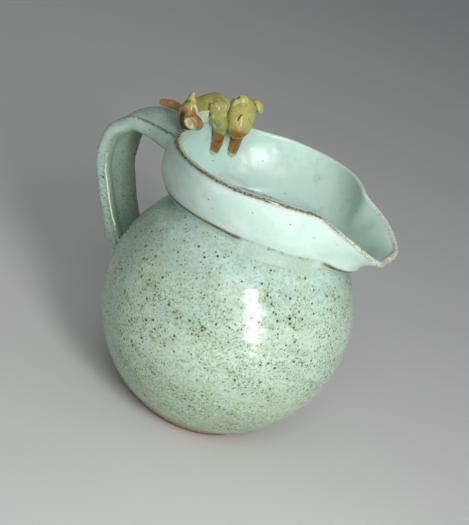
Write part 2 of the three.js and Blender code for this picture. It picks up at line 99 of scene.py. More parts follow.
HANDLE_TOP = [(-0.053, 0.975), (0.241, 0.994), (0.489, 1), (0.74, 0.964), (0.853, 0.901), (0.975, 0.821)]
HANDLE_SIDE = [
    (1, 0.691), (0.946, 0.56), (0.823, 0.453), (0.638, 0.312), (0.42, 0.181), (0.174, 0.074), (0, 0),
]
STRAP_WIDTHS = [1.36, 1.2, 1.06, 1, 0.98, 0.96, 0.95, 0.93, 0.91, 0.9, 0.93, 1.02, 1.12]
STRAP_DEPTHS = [1.25, 1.08, 1, 0.97, 0.97, 0.97, 0.95, 0.93, 0.92, 0.92, 0.95, 1.05, 1.15]
STRAP_LEANS = [0.04, 0.55, 1.05, 0.59, 0.13, -0.35, -0.83, -0.79, -0.76, -0.49, -0.21, 0, 0]
STRAP_SECTION = [
    (-0.82, 0.86), (-0.42, 1.08), (0, 1.16), (0.42, 1.08), (0.82, 0.86), (0.96, 0.52), (1, 0),
    (0.95, -0.6), (0.8, -1), (0.62, -0.9), (0.42, -0.6), (0, -0.48), (-0.42, -0.6), (-0.62, -0.9),
    (-0.8, -1), (-0.95, -0.6), (-1, 0), (-0.96, 0.52),
]

# Surfaces, in millimetres: grid of each mesh, how deep a seat is sunk, how the glaze fills a corner,
# how the strap's ends run into what they join, how far two forms of the bear pass each other where
# they blend, a distance past everything, and the height at which the height mark is one
BODY_SIDES, BODY_SPACING = 300, 0.7
COLLAR_SIDES, BAND_ROWS, WALL_ROWS = 420, 44, 46
STRAP_SIDES, STRAP_ROWS, FLARE_ROWS = 96, 200, 17
BODY_DRAW = 0.16
SEAT_SINK = 0.25
AXIS_GAP = 0.01
FILL_TOE, FILL_KNEE, FILL_SHIN = 1.1, (0.7, 0.9), np.array([0.3, 0.9])
STRAP_START, STRAP_END = 0.035, 0.975
JOINT_TOP = {"flare": 1.6, "deep": 1.3, "longest": 11.0}
JOINT_LOW = {"flare": 2.0, "deep": 1.0, "longest": 14.0}
SHOULDER_ROWS, SKIRT_ROWS = 5, 7
COARSE_STEP = 5
BLEND_OVERLAP = 0.12
FAR = 1e3
HEIGHT_UNIT = 100

# Camera, fitted to the photograph: lens for the sensor's width, place and axes
SENSOR = 36
LENS = 78.86
CAMERA_PLACE = (0.1416, -0.391, 0.2339)
CAMERA_BACK = np.array([0.3227, -0.8678, 0.3778])
CAMERA_ROLL = math.radians(21.1)

# Light, in metres and watts: the strip's long side runs as the streak on the body does in the photograph
FLOOR_HALF = 4.0
AIR_STRENGTH = 0.17
STREAK_WAY = np.array([-0.31765337, 0.03909022, 0.80228837])
LAMPS = [
    ("strip", (0.03, -0.04, 0.06), (0.708, -0.631, 0.318), 0.55, (0.14, 0.56), 3.1, STREAK_WAY),
    ("front", (0, 0, 0.06), (0.25, -0.85, 0.75), 1.2, (0.5, 0.45), 1.85, (0, 0, 1)),
    ("top", (0, 0, 0.06), (-0.1, 0.3, 1.0), 1.3, (1.2, 1.2), 1.0, (0, 1, 0)),
]


# Numbers

def smooth(low, high, value):
    """0 below low, 1 above high, smooth between."""
    t = np.clip((value - low) / (high - low), 0, 1)
    return t * t * (3 - 2 * t)


def mixed(a, b, share):
    return a + (b - a) * share


def even_angles(count):
    return np.arange(count) * 2 * math.pi / count


def wrapped(angle):
    """The same angle between minus and plus half a turn."""
    return np.arctan2(np.sin(angle), np.cos(angle))


def around(shares, angle):
    """Smooth value at an angle from the spout, even on both sides of it."""
    shares = np.asarray(shares, float)
    turned = np.abs(wrapped(angle))
    last = len(COLLAR_ANGLES) - 1
    i = np.clip(np.searchsorted(COLLAR_ANGLES, turned) - 1, 0, last - 1)
    slopes = np.zeros(last + 1)
    slopes[1:last] = (shares[2:] - shares[:-2]) / (COLLAR_ANGLES[2:] - COLLAR_ANGLES[:-2])
    width = COLLAR_ANGLES[i + 1] - COLLAR_ANGLES[i]
    t = (turned - COLLAR_ANGLES[i]) / width
    rise = t * t * (3 - 2 * t)
    lead = t * (1 - t) ** 2 * width * slopes[i]
    tail = t * t * (t - 1) * width * slopes[i + 1]
    return shares[i] + rise * (shares[i + 1] - shares[i]) + lead + tail


def cubic(a, b, leave, arrive, w):
    """Point at a share of the way between two points, left and reached at given speeds."""
    return a + w * (leave + w * (-3 * a + 3 * b - 2 * leave - arrive + w * (2 * a - 2 * b + leave + arrive)))


def spline(values, t, centripetal=True):
    """Curve through evenly numbered points or values, t from 0 to 1."""
    values = np.asarray(values, float)
    flat = values.ndim == 1
    points = values[:, None] if flat else values
    count = len(points)
    place = np.atleast_1d(t) * (count - 1)
    i = np.clip(np.floor(place).astype(int), 0, count - 2)
    w = (place - i)[:, None]
    padded = np.vstack([2 * points[0] - points[1], points, 2 * points[-1] - points[-2]])
    p0, p1, p2, p3 = (padded[i + k] for k in range(4))
    if centripetal:
        pairs = ((p0, p1), (p1, p2), (p2, p3))
        d0, d1, d2 = (np.maximum(((b - a) ** 2).sum(1), 1e-8)[:, None] ** 0.25 for a, b in pairs)
        s1 = ((p1 - p0) / d0 - (p2 - p0) / (d0 + d1) + (p2 - p1) / d1) * d1
        s2 = ((p2 - p1) / d1 - (p3 - p1) / (d1 + d2) + (p3 - p2) / d2) * d1
    else:
        s1 = 0.5 * (p2 - p0)
        s2 = 0.5 * (p3 - p1)
    out = cubic(p1, p2, s1, s2, w)
    return out[:, 0] if flat else out


def looped(points, count):
    """Closed smooth curve through points, as evenly numbered ones."""
    points = np.asarray(points, float)
    n = len(points)
    place = np.arange(count) * n / count
    i = place.astype(int)
    w = (place - i)[:, None]
    p0, p1, p2, p3 = (points[(i + k - 1) % n] for k in range(4))
    return cubic(p1, p2, 0.5 * (p2 - p0), 0.5 * (p3 - p1), w)


def bezier(a, b, c, count):
    """Points of a quadratic curve, both ends included, for an array of radius and height per angle."""
    t = np.linspace(0, 1, count)[:, None, None]
    return (1 - t) ** 2 * a + 2 * t * (1 - t) * b + t * t * c


def unit(v):
    return v / np.linalg.norm(v, axis=-1, keepdims=True)


def ripple(points, wave, seed, count=14):
    """Smooth random value between about -1 and 1, with bumps of the given size."""
    rng = np.random.default_rng(seed)
    ways = unit(rng.normal(size=(count, 3)))
    scales = rng.uniform(0.7, 1.5, count) * 2 * math.pi / wave
    starts = rng.uniform(0, 2 * math.pi, count)
    total = np.zeros(len(points))
    for way, scale, start in zip(ways, scales, starts):
        total += np.sin(points @ way * scale + start)
    return total / math.sqrt(count)


# Meshes

def piece(name, points, faces, marks, nodes):
    """Smooth closed mesh from points in millimetres, with named numbers on its points."""
    mesh = bpy.data.meshes.new(name)
    mesh.from_pydata((np.asarray(points) * MM).tolist(), [], np.asarray(faces).tolist())
    mesh.validate()
    mesh.update()
    mesh.polygons.foreach_set("use_smooth", [True] * len(mesh.polygons))
    for label, values in marks.items():
        layer = mesh.attributes.new(label, "FLOAT", "POINT")
        layer.data.foreach_set("value", np.asarray(values, np.float32))
    obj = bpy.data.objects.new(name, mesh)
    bpy.context.scene.collection.objects.link(obj)
    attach(obj, "root")
    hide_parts(*nodes)
    return obj


def hoop_faces(count, sides):
    """Quads over rings of points that join up both ways."""
    r, s = np.meshgrid(np.arange(count), np.arange(sides), indexing="ij")
    a = r * sides + s
    b = r * sides + (s + 1) % sides
    c = ((r + 1) % count) * sides + (s + 1) % sides
    d = ((r + 1) % count) * sides + s
    return np.stack([a, d, c, b], -1).reshape(-1, 4)


def run_along(lines):
    """Distance of each point from the first one of its line."""
    steps = np.linalg.norm(np.diff(lines, axis=-2), axis=-1)
    return np.concatenate([0 * steps[..., :1], np.cumsum(steps, -1)], -1)


def respaced(line, spacing):
    """Points at even steps along a line."""
    line = np.asarray(line, float)
    run = run_along(line)
    count = max(int(round(run[-1] / spacing)), 2) + 1
    at = np.linspace(0, run[-1], count)
    return np.stack([np.interp(at, run, line[:, k]) for k in range(line.shape[1])], 1)


def turned_points(angle, r, z):
    """Points of radius r and height z, one row of them for each angle round the jug's axis."""
    x, y = r * np.cos(angle)[:, None], r * np.sin(angle)[:, None]
    return np.stack([x, y, z + 0 * r], -1).reshape(-1, 3)


# Body

def body_profile():
    """Turned profile from the base's middle over the outside and the mouth to the floor's middle."""
    turn = np.linspace(math.asin((FOOT_RADIUS + FOOT_FLARE) / BODY_RADIUS), math.pi / 2, 60)
    depth = (BELLY - FOOT_BAND) / math.cos(turn[0])
    low = np.stack([BODY_RADIUS * np.sin(turn), BELLY - depth * np.cos(turn)], 1)
    rise = np.linspace(0, math.acos(THROAT / BODY_RADIUS), 60)[1:]
    high = np.stack([BODY_RADIUS * np.cos(rise), BELLY + BODY_RADIUS * np.sin(rise)], 1)
    hollow = [(AXIS_GAP, 0.6), (17.5, 0.6), (18.6, 0.02)]
    foot = [(FOOT_RADIUS - FOOT_BEVEL, 0), (FOOT_RADIUS, FOOT_BEVEL)]
    ball = BODY_RADIUS - BODY_WALL
    inward = np.linspace(math.acos(THROAT / ball), -math.acos((FOOT_RADIUS - BODY_WALL) / ball), 90)
    height = np.maximum(BELLY + ball * np.sin(inward), FLOOR)
    inner = np.stack([ball * np.cos(inward), height], 1)
    line = respaced(np.vstack([hollow, foot, low, high, inner, [(AXIS_GAP, FLOOR)]]), BODY_SPACING)
    for _ in range(2):
        line[1:-1] = 0.5 * line[1:-1] + 0.25 * (line[:-2] + line[2:])
    return line


def throwing_rings(z):
    """Low rings left by the thrower's fingers, fading towards the foot and the mouth."""
    wide = np.sin(z * 2 * math.pi / 6.2 + 0.6 * np.sin(z / 5.0)) * 0.05
    fine = np.sin(z * 2 * math.pi / 2.7) * 0.015
    return (wide + fine) * smooth(8, 20, z) * smooth(84, 74, z)


def make_body():
    line = body_profile()
    angle = even_angles(BODY_SIDES)
    r, z = (np.tile(line[:, k], (BODY_SIDES, 1)) for k in (0, 1))
    points = turned_points(angle, r, z)
    z = points[:, 2]
    away = points - np.array([0, 0, BELLY])
    outside = (np.linalg.norm(away, axis=1) > BODY_RADIUS - 1.2) & (z > FOOT_BAND + 1)
    wave = throwing_rings(z) + 0.10 * ripple(points, 34, 3) + 0.02 * ripple(points, 9, 4)
    points = points + unit(away) * ((wave - BODY_DRAW) * outside)[:, None]
    marks = {"foot": z + 0.6 * ripple(points, 16, 5), "iron": iron_places(points), "height": z / HEIGHT_UNIT}
    faces = hoop_faces(BODY_SIDES, len(line))
    return piece("body", points, faces[:, ::-1], marks, ["thrown_body"])


def iron_places(points):
    """Places where iron has bled through the glaze: long low patches along the throwing rings."""
    angle = np.arctan2(points[:, 1], points[:, 0])
    total = np.zeros(len(points))
    rng = np.random.default_rng(11)
    places = [
        (-106.9, 59.8, 4.5, 2.0), (-89.8, 56.6, 4.0, 2.2), (-79.4, 56.3, 6.0, 1.6),
        (-35.3, 57.1, 4.0, 1.6), (-78.3, 27.5, 5.0, 2.4), (-93, 33, 6.0, 1.8), (-58, 44, 6.0, 1.4),
        (-30, 52, 5.0, 1.5),
    ]
    for _ in range(34):
        places.append([rng.uniform(*span) for span in ((-60, 260), (12, 74), (2.5, 7), (1.0, 2.2))])
    for turn, z, long, high in places:
        away = wrapped(angle - math.radians(turn))
        radius = math.sqrt(max(BODY_RADIUS ** 2 - (z - BELLY) ** 2, 1))
        slant = points[:, 2] - z + 0.25 * away * radius
        total = np.maximum(total, np.exp(-(away * radius / long) ** 2 - (slant / high) ** 2))
    return total


# Collar

def saddle(angle):
    """How much higher the rim stands where the bear and the handle sit."""
    away = wrapped(angle - SADDLE_ANGLE) / SADDLE_SPREAD
    return SADDLE_HEIGHT * np.exp(-away * away)


def ball_height(radius, ball):
    return np.sqrt(np.maximum(ball * ball - radius * radius, 0))


def on_ball(radius, ball):
    """Radius and height above the belly of points on a ball round the body's middle."""
    return np.stack([radius, ball_height(radius, ball)], -1)


def collar_points(angle):
    """Edge, rim and bulge of the collar's outside, each radius and height above the belly."""
    edge_r = EDGE_RADIUS * around(EDGE_RADII, angle)
    seat = BODY_RADIUS + EDGE_STANDOFF * around(STANDOFFS, angle)
    edge = on_ball(edge_r, seat)
    top = edge[..., 1] + BAND_HEIGHT * around(BAND_HEIGHTS, angle) + saddle(angle)
    rim = np.stack([RIM_RADIUS * around(RIM_RADII, angle), top], -1)
    bellied = np.stack([
        (edge[..., 0] + rim[..., 0]) / 2 + 2 * BAND_BULGE * around(BULGES, angle),
        mixed(edge[..., 1], rim[..., 1], around(BULGE_HEIGHTS, angle)),
    ], -1)
    return edge, rim, bellied


def rim_place(angle):
    """Radius of the rim at one angle, and its height above the belly."""
    return collar_points(np.array([angle]))[1][0]


def bridged(angle):
    """Share of the way, at an angle, to which glaze fills the corner under the collar."""
    turn = np.degrees(wrapped(angle))
    front = smooth(-84, -66, turn) * smooth(-16, -34, turn)
    back = smooth(44, 62, turn) * smooth(116, 92, turn)
    return np.maximum(front, back)


def collar_wall(angle, count):
    """Inside of the collar, a wall's thickness from the outside, from below the rim down to its foot."""
    edge, rim, bellied = collar_points(angle)
    across = unit(np.stack([edge[:, 1] - rim[:, 1], rim[:, 0] - edge[:, 0]], -1)) * COLLAR_WALL
    inner = rim + np.array([-COLLAR_WALL, -RIM_ROUNDING])
    wall = bezier(inner, bellied + across, edge + across, count)
    throat = ball_height(THROAT, BODY_RADIUS)
    above = wall[..., 1] - throat
    wall[..., 1] = throat + (above + np.hypot(above, LEDGE_FILLET)) / 2
    return wall


def collar_foot(angle, edge):
    """Rows under the edge, a sharp undercut or a fillet of glaze down to the ball, and the band's start."""
    share = bridged(angle)[:, None]
    sunk = BODY_RADIUS - SEAT_SINK
    contact_r = edge[:, 0] - EDGE_UNDERCUT * around(UNDERCUTS, angle)
    contact, lead = on_ball(contact_r, sunk), on_ball(contact_r + 0.9, sunk)
    deep = on_ball(contact_r - 1.2, sunk - 0.6)
    under = edge - unit(edge - contact) * 0.5
    cut = np.concatenate([
        bezier(deep, mixed(deep, lead, 0.5), lead, 4)[:-1],
        bezier(lead, contact + np.array([0.25, 0.55]), mixed(contact, under, 0.35), 8)[:-1],
        bezier(mixed(contact, under, 0.35), mixed(contact, under, 0.7), under, 9),
    ])
    toe = on_ball(edge[:, 0] + FILL_TOE, sunk)
    knee = on_ball(edge[:, 0] + FILL_KNEE[0], BODY_RADIUS + FILL_KNEE[1])
    shin = edge + FILL_SHIN
    filled = np.concatenate([
        bezier(deep, mixed(deep, toe, 0.5) - np.array([0, 0.5]), toe, 4)[:-1],
        bezier(toe, knee, shin, 16),
    ])
    start = mixed(edge + np.array([0.15, 0.45]), shin + np.array([0.25, 0.8]), share)
    return mixed(cut, filled, share), start


def collar_section(angle):
    """Closed section of the collar at each angle, and its rows at the lower edge and the shoulder."""
    edge, rim, bellied = collar_points(angle)
    count = len(angle)

    def pair(r, z):
        return np.stack([np.broadcast_to(r, (count,)), np.broadcast_to(z, (count,))], -1)

    foot, start = collar_foot(angle, edge)
    drop = around(LIP_DROPS, angle) * RIM_ROUNDING
    band = bezier(start, bellied, pair(rim[:, 0], rim[:, 1] - drop), BAND_ROWS)
    half = COLLAR_WALL / 2
    lip = []
    for turn in np.radians(np.arange(18, 163, 18)):
        lift = np.where(math.cos(turn) > 0, drop, RIM_ROUNDING)
        lip.append(pair(rim[:, 0] - half + half * math.cos(turn), rim[:, 1] - lift + lift * math.sin(turn)))
    wall = collar_wall(angle, WALL_ROWS)

    # Inside the throat: a ledge, and a thin skirt that lies against the inside of the ball
    throat = ball_height(THROAT, BODY_RADIUS)
    ball = BODY_RADIUS - BODY_WALL
    ledge = bezier(wall[-1], pair(THROAT + 0.1, throat + 0.3), pair(THROAT - 0.12, throat - 3.4), 12)[1:]
    skirt = [pair(THROAT + 0.45, throat - 4.9)]
    skirt += [pair(r, ball_height(r, ball) + 0.1) for r in (32.1, 33.2, 34.2)]
    skirt += [pair(34.6, ball_height(34.0, ball + 1.6)), pair(33.0, throat - 2.6), pair(31.8, throat - 1.2)]
    rows = np.moveaxis(np.concatenate([foot, band, lip, wall, ledge, skirt]), 0, 1)
    for _ in range(2):
        rows = 0.5 * rows + 0.25 * (np.roll(rows, 1, 1) + np.roll(rows, -1, 1))
    return rows, len(foot), len(foot) + BAND_ROWS


def make_collar():
    even = even_angles(COLLAR_SIDES)
    angle = even - SPOUT_CROWDING * np.sin(even)
    section, edge_at, rim_at = collar_section(angle)
    r = section[..., 0]
    points = turned_points(angle, r, section[..., 1] + BELLY)

    # Wave the band a little, as one made by hand
    free = smooth(86, 92, points[:, 2])
    flat = turned_points(angle, 1 + 0 * r, 0)
    points = points + flat * (free * (0.14 * ripple(points, 26, 21) + 0.03 * ripple(points, 8, 22)))[:, None]
    points[:, 2] += 0.12 * free * ripple(points, 22, 23)

    # Distances along the section from the rim's shoulder and from the lower edge
    run = run_along(section)
    row = np.arange(r.shape[1]) + 0 * r
    marks = {
        "rim_run": run - run[:, rim_at:rim_at + 1],
        "edge_run": run - run[:, edge_at:edge_at + 1],
        "filled": bridged(angle)[:, None] + 0 * r,
        "inside": (row >= rim_at + SHOULDER_ROWS) & (row < r.shape[1] - SKIRT_ROWS),
        "turn": wrapped(angle)[:, None] + 0 * r,
        "height": points[:, 2] / HEIGHT_UNIT,
    }
    marks = {name: np.ravel(values) for name, values in marks.items()}
    faces = hoop_faces(*r.shape)[:, ::-1]
    return piece("collar", points, faces, marks, ["spout_collar"])


def collar_radius(points):
    """Outer radius of the collar's band at the angle and height of points."""
    angle = np.arctan2(points[:, 1], points[:, 0])
    edge, rim, bellied = collar_points(angle)
    band = bezier(edge, bellied, rim, 60)
    nearest = np.abs(band[..., 1] - (points[:, 2] - BELLY)).argmin(0)
    return band[nearest, np.arange(len(points)), 0]


# Handle

def handle_path(t):
    """Points of the strap's middle line, from the collar over the top to the body."""
    rim_r, rim_z = rim_place(math.pi)
    reach, root = rim_r + HANDLE_REACH, BODY_RADIUS - HANDLE_BITE
    top, low = rim_z - HANDLE_DROP, -HANDLE_FOOT_DROP
    line = [(rim_r + out * HANDLE_REACH, mixed(low, top, up)) for out, up in HANDLE_TOP]
    line += [(mixed(root, reach, out), mixed(low, top, up)) for out, up in HANDLE_SIDE]
    return spline([(-r, 0, BELLY + z) for r, z in line], t)


def sunk_ring(ring, way, depth, deep, longest):
    """Ring slid along a direction until it lies deep inside what it joins."""
    steps = np.linspace(0, longest, 90)
    along = np.stack([depth(ring + way * s) for s in steps])
    reached = along > deep
    first = np.where(reached.any(0), reached.argmax(0), len(steps) - 1)
    return ring + way * steps[first][:, None]


def make_handle():
    t = np.linspace(STRAP_START, STRAP_END, STRAP_ROWS)
    centres = handle_path(t)
    runs = unit(np.gradient(centres, axis=0))
    across = np.array([0.0, 1.0, 0.0])
    section = looped(STRAP_SECTION, STRAP_SIDES)
    rings = []
    for centre, run, share in zip(centres, runs, t):
        wide, thick, leaning = (spline(v, share, False)[0] for v in (STRAP_WIDTHS, STRAP_DEPTHS, STRAP_LEANS))
        out = unit(np.cross(across, run))
        lean = -STRAP_LEAN * leaning
        side = across * math.cos(lean) + np.cross(run, across) * math.sin(lean)
        lift = out * math.cos(lean) + np.cross(run, out) * math.sin(lean)
        half = section * np.array([STRAP_WIDTH * wide, STRAP_THICKNESS * thick]) / 2
        rings.append(centre + half[:, :1] * side + half[:, 1:] * lift)

    def on_collar(p):
        return collar_radius(p) - np.hypot(p[:, 0], p[:, 1])

    def on_body(p):
        return BODY_RADIUS - np.linalg.norm(p - np.array([0, 0, BELLY]), axis=1)

    top = joint_rings(rings[0], -runs[0], on_collar, **JOINT_TOP)
    low = joint_rings(rings[-1], runs[-1], on_body, **JOINT_LOW)
    rings = np.concatenate([top[::-1], rings, low])
    count = len(rings)
    points = rings.reshape(-1, 3)
    u, v = (np.tile(section[:, k], count) for k in (0, 1))
    s = np.repeat(np.linspace(0, 1, count), STRAP_SIDES)
    outward = unit(points - np.repeat(rings.mean(1), STRAP_SIDES, axis=0))

    # Grooves along the strap from pulling it, deeper on its outer face
    combed = 0.07 * np.sin(u * 21 + 1.5 * np.sin(s * 9)) * (v > 0.3) + 0.05 * np.sin(u * 17) * (v < -0.3)
    wave = combed + 0.10 * ripple(points, 20, 31) + 0.04 * ripple(points, 7, 32)
    points = points + outward * wave[:, None]
    ends = np.arange(STRAP_SIDES), np.arange(STRAP_SIDES)[::-1] + (count - 1) * STRAP_SIDES
    sides = hoop_faces(count, STRAP_SIDES)[:-STRAP_SIDES, ::-1]
    faces = np.array([*sides.tolist(), *(end.tolist() for end in ends)], dtype=object)
    marks = {"across": u, "over": v, "along": s}
    return piece("handle_strap", points, faces, marks, ["handle"])


def joint_rings(ring, way, depth, flare, deep, longest):
    """Rings from a strap's end into what it joins, flaring as a fillet."""
    middle = ring.mean(0)
    outward = ring - middle
    outward = unit(outward - (outward @ way)[:, None] * way)
    wide = ring + outward * flare
    target = sunk_ring(wide, way, depth, deep, longest)
    made = []
    for q in np.linspace(0, 1, FLARE_ROWS)[1:]:
        swell = 1 - math.sqrt(max(1 - q * q, 0))
        base = mixed(ring, target - outward * flare, q)
        made.append(base + outward * flare * swell)
    return np.array(made)


# Bear: fields that are negative inside a form, in millimetres

def chain(stations, steps=4):
    """Round segments along a curve through stations of centre and radius."""
    centres, radii = (np.array(column, float) for column in zip(*stations))
    t = np.linspace(0, 1, steps * (len(stations) - 1) + 1)
    return spline(centres, t), spline(radii, t, False)


def swept(points, line):
    """Distance to a chain of round cones."""
    centres, radii = line
    best = np.full(len(points), FAR)
    for a, b, ra, rb in zip(centres[:-1], centres[1:], radii[:-1], radii[1:]):
        run = b - a
        long2 = run @ run
        thinner = ra - rb
        slope = max(long2 - thinner * thinner, 1e-6)
        rel = points - a
        y = rel @ run
        z = y - long2
        x2 = np.maximum((rel * rel).sum(1) * long2 * long2 - y * y * long2, 0)
        y2 = y * y * long2
        z2 = z * z * long2
        k = np.sign(thinner) * thinner * thinner * x2
        gap = (np.sqrt(x2 * slope / long2) + y * thinner) / long2 - ra
        gap = np.where(np.sign(y) * slope * y2 < k, np.sqrt(x2 + y2) / long2 - ra, gap)
        gap = np.where(np.sign(z) * slope * z2 > k, np.sqrt(x2 + z2) / long2 - rb, gap)
        np.minimum(best, gap, out=best)
    return best


def blob(points, centre, axes, radii):
    """About the distance to an ellipsoid with the given axes."""
    q = (points - centre) @ np.asarray(axes).T / np.asarray(radii)
    far = np.linalg.norm(q, axis=1)
    steep = np.maximum(np.linalg.norm(q / np.asarray(radii), axis=1), 1e-6)
    return far * (far - 1) / steep


def joined(a, b, blend):
    """Union of two fields with a round fillet."""
    h = np.maximum(blend - np.abs(a - b), 0) / blend
    return np.minimum(a, b) - h * h * blend / 4


def carved(a, b, blend):
    """One field with another taken away."""
    return -joined(-a, b, blend)


def slopes(field, points, value, step=0.02):
    """Gradient of a field at points where its value is known."""
    return np.stack([(field(points + step * e) - value) / step for e in np.eye(3)], 1)


def on_rim(along, out, up):
    """Point along the rim, outward from the rim's edge and above it."""
    angle = BEAR_ANGLE - along / RIM_RADIUS
    rim_r, rim_z = rim_place(angle)
    radius = rim_r + out
    height = rim_z - saddle(angle) + up + BELLY
    return np.array([radius * math.cos(angle), radius * math.sin(angle), height])


def stations(shares, radius):
    """Stations from shares of the bear's length along, of its height outward and up, and of a radius."""
    places = [(on_rim(a * BEAR_LENGTH, o * BACK_HEIGHT, u * BACK_HEIGHT), r) for a, o, u, r in shares]
    return [(place, r * radius) for place, r in places]


def wall_radius(angle, depth):
    """Inner radius of the collar at a depth below the top of the rim."""
    wall = collar_wall(np.array([angle]), 40)[:, 0]
    below = np.nonzero(wall[:, 1] <= rim_place(angle)[1] - depth)[0]
    return wall[below[0] if len(below) else -1, 0]


def arm_stations(shares):
    """Stations of a foreleg on the collar's inner wall: along, down, radius, and how far it is sunk in."""
    made = []
    for a, drop, r, sunk in shares:
        along = a * BEAR_LENGTH
        angle = BEAR_ANGLE - along / RIM_RADIUS
        radius = r * ARM_RADIUS
        depth = max(drop * ARM_DROP, RIM_ROUNDING) + saddle(angle)
        over = max(-drop, 0) * 0.5 * COLLAR_WALL
        out = wall_radius(angle, depth) - rim_place(angle)[0] - 0.9 * radius + over + sunk
        made.append((on_rim(along, out, -drop * ARM_DROP), radius))
    return made


TORSO = stations([
    (-0.6, 0.12, 0.5, 0.74), (-0.53, 0.18, 0.68, 0.92), (-0.36, 0.22, 0.74, 0.92),
    (-0.12, 0.22, 0.8, 0.94), (0.09, 0.2, 0.88, 1.06), (0.2, 0.17, 0.92, 1.08), (0.275, 0.12, 0.9, 1.04),
], TORSO_RADIUS)
TAIL = stations([(-0.62, 0.1, 0.82, 0.95), (-0.67, 0.09, 1.33, 0.62), (-0.733, 0.08, 1.81, 0.2)], TAIL_RADIUS)
HEAD = stations([
    (0.715, -0.2, 0.86, 0.92), (0.68, -0.38, 0.64, 0.99), (0.645, -0.6, 0.38, 0.93),
    (0.62, -0.78, 0.17, 0.79), (0.605, -0.9, 0.04, 0.62),
], HEAD_RADIUS)
HAUNCH = stations([
    (-0.61, 0.02, 1.22, 0.28), (-0.63, 0.0, 1.04, 0.52), (-0.66, -0.02, 0.8, 0.82),
    (-0.69, -0.06, 0.5, 0.93), (-0.69, -0.1, 0.26, 0.84),
], LEG_RADIUS)
FOOT = stations([
    (-0.74, -0.3, 0.43, 1.08), (-0.64, -0.42, 0.36, 1.04), (-0.52, -0.46, 0.2, 0.86),
], FOOT_PAD)
NEAR_ARM = arm_stations([
    (0.06, -0.6, 1.04, 1.0), (0.12, -0.34, 0.97, 0.45), (0.285, 0.04, 0.72, 0), (0.38, 0.4, 0.61, 0),
    (0.435, 0.78, 0.53, 0), (0.43, 1.02, 0.45, 0),
])
FAR_ARM = arm_stations([
    (0.6, -0.35, 0.8, 0), (0.7, 0, 0.7, 0), (0.77, 0.35, 0.6, 0), (0.785, 0.7, 0.52, 0),
    (0.785, 0.96, 0.44, 0),
])


def far_leg_stations():
    """Stations of the hind leg that lies back over the handle: outward, up, sideways, and radius."""
    heading = np.array([math.cos(FAR_LEG_HEADING), math.sin(FAR_LEG_HEADING), 0])
    aside = np.array([heading[1], -heading[0], 0])
    made = []
    for out, up, side, r in [
        (0, -0.06, 0, 0.45), (0.25, -0.11, -0.066, 0.44), (0.6, 0.0, -0.21, 0.43),
        (0.95, 0.0, -0.29, 0.4),
    ]:
        reach = (heading * out + aside * side + UP * up) * FAR_LEG_REACH - UP * out * FAR_LEG_DROP
        made.append((TORSO[2][0] + reach, r * LEG_RADIUS))
    return made


FAR_LEG = far_leg_stations()
CROWN, MUZZLE = HEAD[0][0], HEAD[-1][0]
RADIAL = unit(np.array([CROWN[0], CROWN[1], 0.0]))
ONWARD = np.array([RADIAL[1], -RADIAL[0], 0.0])
FACE_WAY = unit(MUZZLE - CROWN)
EAR_SIDE = unit(ONWARD * 0.65 - RADIAL * 0.68 + UP * 0.33)
EAR_TOP = unit(ONWARD * 0.08 + RADIAL * 0.5 + UP * 0.86)


def on_head(along, out, up):
    """Point from the head's widest station, in shares of its radius along the rim, outward and up."""
    return HEAD[1][0] + HEAD_RADIUS * (ONWARD * along + RADIAL * out + UP * up)


EYES = [
    [on_head(-0.5, -0.9, 0.31), on_head(-0.61, -0.92, -0.07)],
    [on_head(0.02, -1.05, 0.2), on_head(0.17, -1.08, 0.05)],
]
EYE_RADII = (0.21, 0.14)
EYE_DARKNESS = (1.0, 0.3)


def onto(field, points):
    """Points pulled onto the surface of a field."""
    points = np.array(points, float)
    for _ in range(6):
        value = field(points)
        points = points - unit(slopes(field, points, value)) * value[:, None]
    return points


TORSO_LINE, TAIL_LINE, HEAD_LINE = chain(TORSO, 3), chain(TAIL), chain(HEAD)
HAUNCH_LINE, FOOT_LINE = chain(HAUNCH, 3), chain(FOOT)


def ear_place(shares, seat):
    """Centre of an ear and the way it points, from the crown."""
    outward = unit(ONWARD * shares[0] + RADIAL * shares[1] + UP * shares[2])
    return CROWN + outward * (HEAD[0][1] + seat * EAR_RADIUS), outward


EAR_TURN = np.array([EAR_SIDE, EAR_TOP, np.cross(EAR_SIDE, EAR_TOP)])
FAR_EAR_TURN = np.array([EAR_SIDE * 0.66 - EAR_TOP * 0.75, EAR_SIDE * 0.75 + EAR_TOP * 0.66, EAR_TURN[2]])

# Glaze that has run together between the belly and the rim
POOL = chain([
    (on_rim(-12.5, -1.0, 1.9), 1.9), (on_rim(-8, -1.2, 1.8), 2.0), (on_rim(-3.5, -1.2, 1.6), 1.8),
], 3)


def torso_field(p):
    shoulder = blob(p, on_rim(0.2 * BEAR_LENGTH, -0.4, 7.0), np.eye(3), (4.0, 4.2, 4.1))
    d = joined(swept(p, TORSO_LINE), shoulder, 2.0)
    d = joined(d, swept(p, POOL), 1.6)
    return joined(d, swept(p, TAIL_LINE), 1.3)


def plain_head(p):
    return swept(p, HEAD_LINE)


def embedded(field, points, radii, proud):
    """Centres and radii of a ridge that stands proud of a field's surface along points on it."""
    spots = onto(field, points)
    radii = np.array(radii, float)
    return spots - unit(slopes(field, spots, field(spots))) * (radii - proud)[:, None], radii


NOSE = MUZZLE + FACE_WAY * 3.5 - ONWARD * 0.5
BROW = [on_head(-0.44, -0.92, 0.2), on_head(-0.42, -1.1, -0.3)]
BRIDGE = embedded(plain_head, [*BROW, NOSE], [1.3, 1.5, 2.4], 0.3)
CHEEK = embedded(plain_head, [on_head(-0.75, -0.75, -0.25), on_head(0.35, -1.1, -0.3)], [2.0, 2.2], 0.15)


def bare_head(p):
    d = joined(plain_head(p), swept(p, BRIDGE), 0.7)
    for spot, radius in zip(*CHEEK):
        d = joined(d, np.linalg.norm(p - spot, axis=1) - radius, 1.0)
    return d


